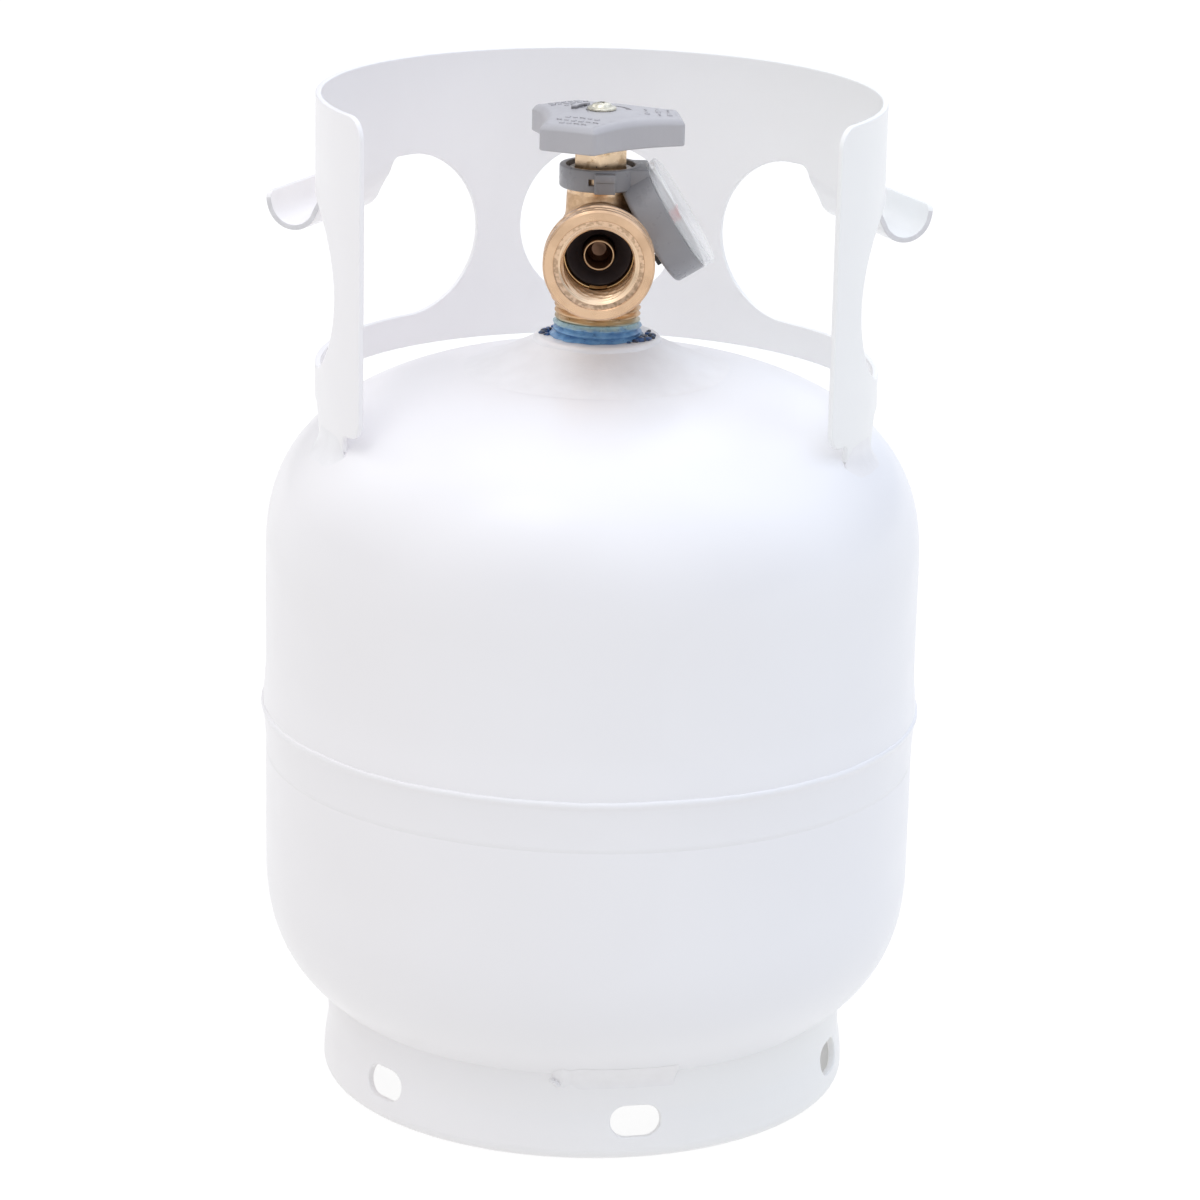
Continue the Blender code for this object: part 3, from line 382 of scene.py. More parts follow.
# Darker grey for the hook tabs' front end faces.
DARKER_TAB_END = two_toned("darker_grey_on_tab_ends", 0.5, 0.0, (300, 3, 0.3, 0.7, (0.71, 0.70, 0.71), (0.80, 0.79, 0.80)),
                 None, (900, 2, 0.03))
FORGED = brass_forged()
OUTLET = outlet_brass()
TURNED_Y = brass_turned("turned_brass_lying", "Y")
TURNED_Z = brass_turned("turned_brass_upright", "Z")
SLEEVE = brass_turned("turned_brass_sleeve", "Y", (0.70, 0.44, 0.20), (0.50, 0.28, 0.12))
NOZZLE = nozzle_brass()
HEX = hex_brass()
THREAD = thread_brass()
BLUE = sealant_blue()
SMEAR = two_toned("smeared_sealant", 0.35, 0.0, (500, 3, 0.42, 0.6, (0.012, 0.018, 0.035), (0.035, 0.11, 0.30)),
                  None, (800, 3, 0.15), Coat_Weight=0.4, Coat_Roughness=0.2)
WHEEL = moulded("wheel_plastic_grey", (0.495, 0.486, 0.503), 0.06, 0.36, 0.03)
GAUGE = moulded("gauge_plastic_grey", (0.300, 0.298, 0.310), 0.07, 0.3)
BLACK = moulded("black_plastic", (0.022, 0.022, 0.024), 0.2, 0.42)
FOAM = moulded("closed_cell_foam", (0.09, 0.09, 0.095), 0.2, 0.8, 0.15)
RUBBER = two_toned("nitrile_rubber", 0.62, 0.0, (300, 2, 0.4, 0.7, (0.040, 0.027, 0.026), (0.056, 0.038, 0.036)),
                   None, (1600, 2, 0.02))
STEEL = plated("bare_steel_rod", (0.56, 0.56, 0.57), 0.32)
NICKEL = plated("dull_nickel", (0.86, 0.83, 0.78), 0.38, 0.35)
ZINC = plated("pale_zinc", (0.80, 0.77, 0.64), 0.24)
MAGNET = plated("sintered_magnet", (0.16, 0.16, 0.17), 0.5)
CLEAR = clear_plastic()
CARD = printed("dial_white", (0.86, 0.86, 0.84))
RED = printed("dial_red", (0.62, 0.035, 0.03))
GREEN = printed("dial_green", (0.05, 0.30, 0.09))
INK = printed("dial_black", (0.015, 0.015, 0.017))


# ---------------------------------------------------------------- mesh tools

def shown(name, data):
    """A new object in the scene."""
    thing = bpy.data.objects.new(name, data)
    bpy.context.scene.collection.objects.link(thing)
    return thing


def piece(name, mesh, material, nodes=(), angle=35, body="tank"):
    """Puts a finished mesh in the scene, on a body, in place of CAD nodes."""
    thing = shown(name, mesh)
    mesh.materials.clear()
    for item in material if isinstance(material, list) else [material]:
        mesh.materials.append(item)
    mesh.shade_smooth()
    mesh.set_sharp_from_angle(angle=radians(angle))
    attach(thing, body)
    if nodes:
        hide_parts(*nodes)
    return thing


def cleaned(mesh, gap=0.0):
    """Mesh with its faces turned outward, once points no further apart than the gap (metres) are one."""
    build = bmesh.new()
    build.from_mesh(mesh)
    if gap:
        bmesh.ops.remove_doubles(build, verts=build.verts, dist=gap)
    bmesh.ops.recalc_face_normals(build, faces=build.faces)
    build.to_mesh(mesh)
    build.free()
    return mesh


def mesh_of(points, faces):
    """Mesh from points in millimetres, its faces turned outward."""
    mesh = bpy.data.meshes.new("mesh")
    mesh.from_pydata([Vector(point) * MM for point in points], [], faces)
    return cleaned(mesh)


def joined(*meshes):
    """One mesh holding several closed ones."""
    build = bmesh.new()
    for mesh in meshes:
        build.from_mesh(mesh)
    whole = bpy.data.meshes.new("mesh")
    build.to_mesh(whole)
    build.free()
    return whole


def moved(mesh, change):
    """Moves every point of a mesh; change takes and gives millimetres."""
    for vertex in mesh.vertices:
        vertex.co = Vector(change(vertex.co / MM)) * MM
    return mesh


def placed(mesh, place):
    mesh.transform(place)
    return mesh


def spun(mesh, turn):
    """Mesh turned about Z by an angle in radians."""
    return placed(mesh, Matrix.Rotation(turn, 4, 'Z'))


def circle(radius, height, steps):
    """Level loop; the radius is a number or a function of (share of a turn, height)."""
    radii = [radius(k / steps, height) if callable(radius) else radius for k in range(steps)]
    return [(r * cos(2 * pi * k / steps), r * sin(2 * pi * k / steps), height) for k, r in enumerate(radii)]


def turned(profile, steps):
    """Solid of revolution about Z. The profile (radius, height) closes on itself."""
    points = []
    rows = []
    for radius, height in profile:
        row = circle(radius, height, steps) if radius else [(0, 0, height)]
        rows.append(list(range(len(points), len(points) + len(row))))
        points += row
    faces = []
    for row, after in zip(rows, rows[1:] + rows[:1]):
        if len(row) + len(after) > 2:
            low = row * (steps // len(row))
            high = after * (steps // len(after))
            for j in range(steps):
                n = (j + 1) % steps
                faces.append(tuple(dict.fromkeys((low[j], low[n], high[n], high[j]))))
    return mesh_of(points, faces)


def lathed(corners, steps, arcs=4):
    """Solid of revolution whose corners (radius, height, rounding) are rounded."""
    return turned(filleted(corners, arcs), steps)


def rings(loops, caps=True):
    """Mesh through closed loops of equal length."""
    count = len(loops[0])
    points = [point for loop in loops for point in loop]
    faces = []
    if caps:
        faces += [tuple(range(count)), tuple(range(len(points) - count, len(points)))]
    for start in range(0, len(points) - count, count):
        for k in range(count):
            n = (k + 1) % count
            faces.append((start + k, start + n, start + count + n, start + count + k))
    return mesh_of(points, faces)


def tube(loops):
    """Mesh through closed loops, the last joined to the first."""
    return cleaned(rings(loops + loops[:1], caps=False), SAME_POINT)


def arc(centre, radius, start, end, steps):
    """Points on an arc; angles in degrees."""
    return [(centre[0] + radius * cos(radians(start + (end - start) * k / steps)),
             centre[1] + radius * sin(radians(start + (end - start) * k / steps)))
            for k in range(steps + 1)]


def filleted(corners, steps, closed=True):
    """Outline whose corners (x, y, radius) are rounded."""
    outline = []
    for k, (x, y, radius) in enumerate(corners):
        here = Vector((x, y))
        if radius == 0 or (not closed and k in (0, len(corners) - 1)):
            outline.append((x, y))
            continue
        back = (Vector(corners[k - 1][:2]) - here).normalized()
        ahead = (Vector(corners[(k + 1) % len(corners)][:2]) - here).normalized()
        half = back.angle(ahead) / 2
        reach = radius / tan(half)
        centre = here + (back + ahead).normalized() * (radius / sin(half))
        start = here + back * reach - centre
        sweep = start.angle_signed(here + ahead * reach - centre)
        for step in range(steps + 1):
            turn = -sweep * step / steps
            outline.append((centre.x + start.x * cos(turn) - start.y * sin(turn),
                            centre.y + start.x * sin(turn) + start.y * cos(turn)))
    return outline


def shrunk(outline, depth):
    """Outline moved inward; it runs counter-clockwise."""
    result = []
    for k, point in enumerate(outline):
        here = Vector(point)
        before = (here - Vector(outline[k - 1])).normalized()
        after = (Vector(outline[(k + 1) % len(outline)]) - here).normalized()
        middle = (before + after).normalized()
        inward = Vector((-middle.y, middle.x))
        result.append(tuple(here + inward * depth / max(middle.dot(after), 0.3)))
    return result


def rounded_prism(outline, low, high, low_edge, high_edge, steps):
    """Outline extruded along Z, with rounded rims."""
    turns = [pi / 2 * k / steps for k in range(steps + 1)]
    lower = [[(x, y, low + low_edge * (1 - cos(turn))) for x, y in shrunk(outline, low_edge * (1 - sin(turn)))]
             for turn in turns]
    upper = [[(x, y, high - high_edge * (1 - sin(turn))) for x, y in shrunk(outline, high_edge * (1 - cos(turn)))]
             for turn in turns]
    return rings(lower + upper)


def block(x, y, z, edge, steps=1, corner=0.0, arcs=3):
    """Upright block between pairs of x, y and z; its rims are rounded, and its corners if asked."""
    corners = [(x[0], y[0], corner), (x[1], y[0], corner), (x[1], y[1], corner), (x[0], y[1], corner)]
    low_edge, high_edge = edge if isinstance(edge, tuple) else (edge, edge)
    return rounded_prism(filleted(corners, arcs), *z, low_edge, high_edge, steps)


def smooth_path(points, steps):
    """Catmull-Rom curve through points of any dimension."""
    points = [Vector(point) for point in points]
    first = points[0] * 2 - points[1]
    last = points[-1] * 2 - points[-2]
    chain = [first] + points + [last]
    path = []
    for k in range(1, len(chain) - 2):
        a, b, c, d = chain[k - 1:k + 3]
        for step in range(steps):
            t = step / steps
            path.append(0.5 * (2 * b + (c - a) * t + (2 * a - 5 * b + 4 * c - d) * t * t
                               + (3 * b - a - 3 * c + d) * t ** 3))
    path.append(points[-1])
    return path


class Track:
    """A plane path that can be asked for the point and normal at a distance along it."""

    def __init__(self, points):
        self.points = [Vector(point) for point in points]
        self.along = [0.0]
        for before, after in zip(self.points, self.points[1:]):
            self.along.append(self.along[-1] + (after - before).length)
        self.length = self.along[-1]

    def at(self, distance):
        k = 0
        while k < len(self.points) - 2 and self.along[k + 1] < distance:
            k += 1
        share = (distance - self.along[k]) / (self.along[k + 1] - self.along[k])
        point = self.points[k].lerp(self.points[k + 1], share)
        run = self.direction(k).lerp(self.direction(k + 1), min(max(share, 0), 1)).normalized()
        return point, Vector((-run.y, run.x))

    def direction(self, k):
        low = max(k - 1, 0)
        high = min(k + 1, len(self.points) - 1)
        return (self.points[high] - self.points[low]).normalized()


def evaluated(thing, *helpers):
    """Mesh of an object after its modifiers; the object and its helpers leave the scene."""
    graph = bpy.context.evaluated_depsgraph_get()
    mesh = bpy.data.meshes.new_from_object(thing.evaluated_get(graph))
    for item in (*helpers, thing):
        bpy.data.objects.remove(item)
    return mesh


def sliced(mesh, columns, rows, slack):
    """Mesh split along planes at the given x and y, so that its large flat faces can bend."""
    build = bmesh.new()
    build.from_mesh(mesh)
    for normal, places in ((Vector((1, 0, 0)), columns), (Vector((0, 1, 0)), rows)):
        for place in places:
            bmesh.ops.bisect_plane(build, geom=build.verts[:] + build.edges[:] + build.faces[:], dist=slack,
                                   plane_co=normal * place, plane_no=normal)
    build.to_mesh(mesh)
    build.free()
    return mesh


def sheet_metal(outline, holes, wall, edge, columns, rows):
    """Flat sheet in XY with rounded rims, split at the given x and y so that it can be rolled or bent."""
    curve = bpy.data.curves.new("sheet", 'CURVE')
    curve.dimensions = '2D'
    curve.fill_mode = 'BOTH'
    curve.extrude = wall / 2 - edge
    curve.bevel_depth = edge
    curve.bevel_resolution = 2
    curve.offset = -edge
    for loop in [outline] + holes:
        spline = curve.splines.new('POLY')
        spline.points.add(len(loop) - 1)
        for point, (x, y) in zip(spline.points, loop):
            point.co = (x, y, 0, 1)
        spline.use_cyclic_u = True
    sheet = cleaned(evaluated(shown("sheet", curve)), 0.001)
    sheet = cleaned(sliced(sheet, columns, rows, 0.0001))
    return placed(sheet, Matrix.Scale(MM, 4))


def even_normals(thing):
    """Large faces set the shading, so that flat and rolled sheet stays clean beside its rims."""
    weigh = thing.modifiers.new("even_normals", 'WEIGHTED_NORMAL')
    weigh.mode = 'FACE_AREA'
    weigh.weight = 60
    weigh.keep_sharp = True


def boolean(mesh, cutters, operation='DIFFERENCE'):
    """Mesh after Booleans with other meshes."""
    target = shown("target", mesh)
    helpers = [shown("cutter", cutter) for cutter in cutters]
    for helper in helpers:
        change = target.modifiers.new("change", 'BOOLEAN')
        change.operation = operation
        change.solver = 'EXACT'
        change.object = helper
    return evaluated(target, *helpers)


def melted(mesh, voxel, rounds):
    """Voxel remesh and smoothing, which rounds every edge and fills every inner corner."""
    target = shown("target", mesh)
    remesh = target.modifiers.new("remesh", 'REMESH')
    remesh.mode = 'VOXEL'
    remesh.voxel_size = voxel * MM
    relax = target.modifiers.new("relax", 'SMOOTH')
    relax.factor = 0.5
    relax.iterations = rounds
    return evaluated(target)


def frame_on(origin, direction, side=(0, 1, 0)):
    """Matrix whose local Z runs along direction and whose local Y is near side; origin in millimetres."""
    axis_z = Vector(direction).normalized()
    axis_x = Vector(side).cross(axis_z).normalized()
    axis_y = axis_z.cross(axis_x)
    turn = Matrix((axis_x, axis_y, axis_z)).transposed().to_4x4()
    return Matrix.Translation(Vector(origin) * MM) @ turn


def on_wall(angle, radius, z):
    return (radius * sin(radians(angle)), -radius * cos(radians(angle)), z)


def wave(x, y, z, size, seed=0.0):
    """Noise from -1 to 1 with features of a size in millimetres."""
    return noise.noise(Vector((x / size + seed, y / size, z / size)))


def head_height(radius, body_r=BODY_R, depth=HEAD_DEPTH):
    return depth * (1 - (radius / body_r) ** HEAD_POWER) ** (1 / HEAD_POWER)


def dome(radius):
    return TOP_TANGENT + head_height(radius)


def belly(radius):
    return BOTTOM_TANGENT - head_height(radius)


def head_profile(body_r, depth, steps, inner=0.0):
    pairs = []
    for k in range(steps):
        turn = pi / 2 * k / steps
        pairs.append((body_r * cos(turn) ** (2 / HEAD_POWER), depth * sin(turn) ** (2 / HEAD_POWER)))
    kept = [pair for pair in pairs if pair[0] > inner + 0.5]
    return kept + [(inner, head_height(inner, body_r, depth))]


# ---------------------------------------------------------------- cylinder body

def make_shells():
    """Drawn halves with the faint waviness of pressed sheet."""
    inside = BODY_R - SHEET
    hole = BOSS_R + 0.2
    outer = [(BODY_R + SEAM_FLARE, SEAM_Z + 0.3), (BODY_R + SEAM_FLARE, SEAM_Z + 1.2),
             (BODY_R + 0.75, SEAM_Z + 4), (BODY_R + 0.35, SEAM_Z + 8), (BODY_R + 0.08, SEAM_Z + 12)]
    outer += [(BODY_R, TOP_TANGENT - 32 + 4 * k) for k in range(8)]
    outer += [(r, TOP_TANGENT + z) for r, z in head_profile(BODY_R, HEAD_DEPTH, 44, hole)]
    inner = [(inside, SEAM_Z + 0.3)]
    inner += [(r, TOP_TANGENT + z) for r, z in head_profile(inside, HEAD_DEPTH - SHEET, 16, hole)]
    upper = moved(turned(outer + inner[::-1], SHELL_STEPS), pressed)
    piece("upper_half", upper, PAINT, ["upper_shell"])

    lap = inside - 0.3
    outer = [(lap, LAP_TOP), (lap, JOGGLE_Z + 4.5), (BODY_R - 1, JOGGLE_Z + 1.6), (BODY_R - 0.1, JOGGLE_Z)]
    outer += [(BODY_R, JOGGLE_Z - 2 - 4 * k) for k in range(8)]
    outer += [(r, BOTTOM_TANGENT - z) for r, z in head_profile(BODY_R, HEAD_DEPTH, 40)]
    inner = [(0, BOTTOM_TANGENT - HEAD_DEPTH + SHEET)]
    inner += [(r, BOTTOM_TANGENT - z) for r, z in head_profile(inside, HEAD_DEPTH - SHEET, 14)[-2::-1]]
    inner += [(inside, JOGGLE_Z - 2), (lap - SHEET, JOGGLE_Z + 3.5), (lap - SHEET, LAP_TOP)]
    lower = moved(turned(outer + inner, SHELL_STEPS), pressed)
    piece("lower_half", lower, PAINT, ["lower_shell"])


def pressed(point):
    """Very shallow waves of a drawn shell, never outward past its size."""
    x, y, z = point
    reach = max((x * x + y * y) ** 0.5, 1.0)
    dent = 0.10 * (wave(x, y, z, 38) - 0.6) * min(reach / BODY_R, 1)
    return (x * (1 + dent / reach), y * (1 + dent / reach), z)


def make_girth_weld():
    """Weld band with a thin raised toe line along the upper half's rim."""
    lap = BODY_R - SHEET
    steps = 540
    loops = []
    for k in range(steps):
        angle = 360 * k / steps
        x, y, _ = on_wall(angle, 100, 0)
        drift = 0.30 * wave(x, y, 0, 22, 3) + 0.12 * wave(x, y, 0, 6, 9)
        swell = 0.03 * wave(x, y, 0, 16, 5)
        rope = 0.09 * wave(x, y, 0, 3.2, 7)
        toe = BODY_R + SEAM_FLARE
        body = [(lap, SEAM_Z - 0.1), (lap, JOGGLE_Z + 5.2), (BODY_R - 0.6, JOGGLE_Z - 1.2),
                (BODY_R - 0.3, JOGGLE_Z - 1.6), (BODY_R - 0.01, JOGGLE_Z - 1.2), (BODY_R + 0.02, JOGGLE_Z + 0.5),
                (BODY_R + 0.08, JOGGLE_Z + 2.8), (BODY_R + 0.2 + swell * 0.5, JOGGLE_Z + 5.2),
                (BODY_R + 0.39 + swell, JOGGLE_Z + 7.6), (BODY_R + 0.63 + swell, JOGGLE_Z + 9.8),
                (BODY_R + 0.9 + swell * 0.4, SEAM_Z - 1.9 + drift * 0.5),
                (BEAD_R - 0.60 + rope, SEAM_Z - 1.2 + drift), (BEAD_R - 0.25 + rope, SEAM_Z - 0.7 + drift),
                (BEAD_R - 0.12 + rope, SEAM_Z - 0.1 + drift), (BEAD_R - 0.22 + rope, SEAM_Z + 0.5 + drift),
                (toe + 0.02, SEAM_Z + 1.0 + drift), (toe - 0.5, SEAM_Z + 0.9 + drift)]
        loops.append([on_wall(angle, min(r, BEAD_R + 0.03), z) for r, z in body])
    piece("girth_weld_bead", moved(tube(loops), pressed), PAINT, ["girth_weld"], 60)


def make_boss():
    bore = THREAD_R + 0.3
    low = bore - (BOSS_TOP - BOSS_BOTTOM) * THREAD_TAPER
    corners = [(low, BOSS_BOTTOM, 0), (BOSS_R - 0.3, BOSS_BOTTOM, 0.6), (BOSS_R - 0.3, BOSS_TOP, 1.6),
               (bore, BOSS_TOP, 0.9)]
    spud = lathed(corners, 128, 6)
    piece("valve_spud", spud, PAINT, ["valve_boss"])

    steps = 256
    inner = BOSS_R - 0.6
    loops = []
    for k in range(steps):
        angle = 360 * k / steps
        x, y, _ = on_wall(angle, 25, 0)
        swell = 1 + 0.05 * wave(x, y, 0, 14, 2) + 0.02 * wave(x, y, 0, 4, 6)
        toe = 41.0 + 0.8 * wave(x, y, 0, 11, 4)
        ring = [on_wall(angle, inner, dome(inner) - 0.4)]
        for step in range(15):
            share = step / 14
            radius = toe + (inner + 0.25 - toe) * share
            lift = 7.0 * swell * share ** 1.5
            ring.append(on_wall(angle, radius, dome(radius) + 0.02 + lift))
        loops.append(ring)
    piece("spud_weld", tube(loops), WELD, ["boss_weld"], 60)


# ---------------------------------------------------------------- collar

def hook_track():
    """Middle of the hook's sheet, (outward, height), from its root in the wall to its tip."""
    wall = [(0.0, HOOK_ROOT_Z), (0.0, 280.7), (0.2, 279.0), (0.9, 277.2), (2.3, 275.0)]
    trough = arc((HOOK_OUT, HOOK_Z), HOOK_R, 198, 350, 9)
    return Track(smooth_path(wall + trough + [(HOOK_OUT + HOOK_R + 0.5, HOOK_Z + 2.2)], 5))


def make_collar():
    """One sheet: cut flat with the hooks as tabs in its windows, then rolled, then the tabs bent."""
    mm = COLLAR_TURN
    front = [(COLLAR_EDGE, COLLAR_TOP, 7), (COLLAR_EDGE, POST_BOTTOM, 5.5), (FRONT_FOOT[0], POST_BOTTOM, 1.8),
             (FRONT_FOOT[0], FOOT_BOTTOM - 1.6, 0.8), (FRONT_FOOT[1], FOOT_BOTTOM - 1.6, 1.5),
             (FRONT_FOOT[1] + 3, STRAP_BOTTOM, 4), (REAR_FOOT[0] - 3, STRAP_BOTTOM, 4),
             (REAR_FOOT[0], FOOT_BOTTOM - 1.6, 1.5)]
    back = [(360 - angle, z, radius) for angle, z, radius in front[::-1]]
    outline = filleted([(angle / mm, z, radius) for angle, z, radius in front + back], 8)
    track = hook_track()
    tip = HOOK_ROOT_Z - track.length
    holes = []
    for mirrored in (False, True):
        near, far = (angle / mm for angle in WINDOW_ENDS)
        left = (HOOK_ANGLE - HOOK_HALF) / mm
        right = (HOOK_ANGLE + HOOK_HALF) / mm
        top = WINDOW_Z + WINDOW_R
        tab = filleted([(near, top, 0), (left, top, 3.4), (left, tip, 2.6), (right, tip, 2.6),
                        (right, top, 3.8), (far, top, 0)], 6, closed=False)
        loop = arc((near, WINDOW_Z), WINDOW_R, 270, 90, 40) + tab[1:-1]
        loop += arc((far, WINDOW_Z), WINDOW_R, 90, -90, 40)
        if mirrored:
            loop = [(360 / mm - x, y) for x, y in loop]
        holes.append(loop)
    holes.append([(180 / mm + WINDOW_R * cos(2 * pi * k / 96), WINDOW_Z + WINDOW_R * sin(2 * pi * k / 96))
                  for k in range(96)])
    columns = [angle / mm for angle in range(56, 305, 2)]
    rows = [HOOK_ROOT_Z - track.length * k / 44 for k in range(45)]
    sheet = sheet_metal(outline, holes, COLLAR_WALL, 0.4, columns, rows)
    # The hook tabs' front end faces get the darker grey.
    darker_ends = []
    for face in sheet.polygons:
        x, z, _ = face.center / MM
        angle = min(x * mm, 360 - x * mm)
        near_edge = abs(angle - HOOK_ANGLE + HOOK_HALF) < 1.5
        if abs(face.normal.z) < 0.8 and near_edge and tip + 2 < z < HOOK_ROOT_Z - 4:
            darker_ends.append(face.index)

    def rolled(point):
        x, z, depth = point
        angle = x * mm
        side = 1 if angle < 180 else -1
        away = abs(angle - (HOOK_ANGLE if side > 0 else 360 - HOOK_ANGLE))
        if away < HOOK_HALF + 4 and tip - 1 < z < HOOK_ROOT_Z:
            return bent_tab(track, side, angle if side > 0 else 360 - angle, HOOK_ROOT_Z - z, depth)
        return on_wall(angle, COLLAR_MIDDLE + depth, z)

    # The collar wears the white paint painted brighter in place of light.
    collar = piece("collar_sheet", moved(sheet, rolled), [PAINT_LIT_BRIGHTER, DARKER_TAB_END],
                   ["collar", "hook_right", "hook_left"], 60)
    for index in darker_ends:
        collar.data.polygons[index].material_index = 1
    even_normals(collar)


def bent_tab(track, side, angle, distance, depth):
    """Point of a hook: an angle round the collar, a distance down the tab, a depth through the sheet."""
    spot, normal = track.at(distance)
    flat = min(max((distance - 1.5) / 9, 0), 1)
    flat = flat * flat * (3 - 2 * flat)
    lean = radians(angle - HOOK_ANGLE)
    chord = COLLAR_MIDDLE * cos(radians(HOOK_HALF))
    thin = 1 - (1 - HOOK_SHEET / COLLAR_WALL) * flat
    outward = Vector((sin(radians(HOOK_ANGLE)), -cos(radians(HOOK_ANGLE))))
    along = Vector((cos(radians(HOOK_ANGLE)), sin(radians(HOOK_ANGLE))))
    reach = COLLAR_MIDDLE * cos(lean) * (1 - flat) + chord * flat
    place = outward * (reach + spot.x + normal.x * depth * thin) + along * (COLLAR_MIDDLE * sin(lean))
    return (side * place.x, place.y, spot.y + normal.y * depth * thin)


def blob(centre, size, seed, steps):
    """Small uneven lump; size is (x, y, z) half extents."""
    points = []
    faces = []
    for k in range(steps + 1):
        lean = pi * k / steps
        for j in range(2 * steps):
            turn = pi * j / steps
            ray = Vector((sin(lean) * cos(turn), sin(lean) * sin(turn), cos(lean)))
            swell = 1 + 0.28 * noise.noise(ray * 1.4 + Vector((seed, 0, 0)))
            points.append([centre[i] + ray[i] * size[i] * swell for i in range(3)])
    for start in range(0, len(points) - 2 * steps, 2 * steps):
        for j in range(2 * steps):
            n = (j + 1) % (2 * steps)
            faces.append((start + j, start + n, start + 2 * steps + n, start + 2 * steps + j))
    return cleaned(mesh_of(points, faces), SAME_POINT)


def bead(start, end, run, rise, seed):
    """Fillet weld round the collar: run is its leg along the dome, rise its leg up the wall."""
    steps = 60
    loops = []
    for k in range(steps + 1):
        share = k / steps
        angle = start + (end - start) * share
        x, y, _ = on_wall(angle, COLLAR_R, 0)
        fade = min(1, 5 * share, 5 * (1 - share)) ** 0.5
        size = max(fade, 0.12) * (1 + 0.07 * wave(x, y, 0, 5, seed))
        ring = [on_wall(angle, COLLAR_R - 0.8, dome(COLLAR_R - 0.8) - 0.4)]
        for step in range(9):
            turn = pi / 2 * step / 8
            out = run * size * (1 - sin(turn) * 0.96)
            up = rise * size * (1 - cos(turn) * 0.99)
            ring.append(on_wall(angle, COLLAR_R + out - 0.1, dome(COLLAR_R + out) - 0.08 + up))
        loops.append(ring)
    return rings(loops)


def make_collar_welds():
    """Fillets at the three feet, each of two passes."""
    for name, (start, end), seed in (("right", FRONT_FOOT, 1), ("rear", REAR_FOOT, 2),
                                     ("left", (360 - FRONT_FOOT[1], 360 - FRONT_FOOT[0]), 3)):
        passes = [bead(start - 0.8, end + 0.8, 4.6, 4.4, seed), bead(start - 0.4, end + 0.4, 2.6, 5.4, seed + 9)]
        piece(f"collar_fillet_{name}", joined(*passes), WELD, [f"collar_weld_{name}"], 70)


# ---------------------------------------------------------------- foot ring

def make_foot_ring():
    """Rolled band: cut flat with its slots, curled at the floor and closed with a weld at the back."""
    middle = FOOT_R - FOOT_WALL / 2
    top = belly(FOOT_R) + 0.6
    line = [(middle, top), (middle, 21.0), (middle, 16.0), (middle + 0.5, 12.5), (middle + 0.95, 9.0),
            (middle + 1.25, 5.0), (middle + 1.3, 3.2), (middle + 0.85, 1.85), (middle - 0.3, 1.22),
            (middle - 2.2, 1.16), (76.2, 1.16)]
    track = Track(smooth_path(line, 5))
    slot_along = top - SLOT_Z
    around = 2 * pi * middle
    half = SLOT_LONG / 2 - SLOT_HIGH / 2
    holes = []
    for k in range(SLOT_COUNT):
        centre = around * (((SLOT_FIRST + 360 / SLOT_COUNT * k) - 180) % 360) / 360
        loop = arc((centre + half, slot_along), SLOT_HIGH / 2, -90, 90, 16)
        loop += arc((centre - half, slot_along), SLOT_HIGH / 2, 90, 270, 16)
        holes.append(loop)
    outline = [(0, 0), (around, 0), (around, track.length), (0, track.length)]
    columns = [around * k / 180 for k in range(1, 180)]
    sheet = sheet_metal(outline, holes, FOOT_WALL, 0.5, columns, track.along[1:-1])

    def rolled(point):
        x, y, depth = point
        spot, normal = track.at(y)
        return on_wall(180 + 360 * x / around, spot.x - normal.x * depth, spot.y - normal.y * depth)

    band = moved(sheet, rolled)
    turns = [2 * pi * j / 16 for j in range(16)]
    heights = [4.5 + (top - 5.5) * i / 40 for i in range(41)]
    seam = rings([[on_wall(180 + 1.12 * cos(t), FOOT_R + 0.1 + 0.45 * max(sin(t), -0.9), z) for t in turns]
                  for z in heights])

    def along_curl(point):
        x, y, z = point
        return (x, y + 0.75 * min(1, max(0, (16 - z) / 5)) + 0.12 * wave(x, 0, z, 2.4, 3), z)

    whole = joined(band, moved(seam, along_curl))
    # The foot band wears the white paint painted brighter in place of light.
    even_normals(piece("foot_band", whole, PAINT_LIT_BRIGHTER, ["foot_ring"], 60))


def make_foot_welds():
    for name, turn, seed in (("front", 0, 4), ("right", 120, 5), ("left", 240, 6)):
        start, end = (edge + turn for edge in FOOT_WELD)
        lumps = [foot_bead(start, end, seed)]
        for k in range(3):
            angle = start - 0.6 + 0.9 * sin(k * 2.4 + seed)
            z = belly(FOOT_R) - 2.0 - 0.9 * k * (0.9 + 0.3 * sin(k * 5.1))
            size = 0.6 + 0.4 * abs(sin(k * 3.7 + seed))
            lumps.append(blob(on_wall(angle + 1.3, FOOT_R + 0.2, z), (size, size, size * 0.9), seed + k, 7))
        piece(f"foot_fillet_{name}", joined(*lumps), WELD, [f"foot_weld_{name}"], 70)


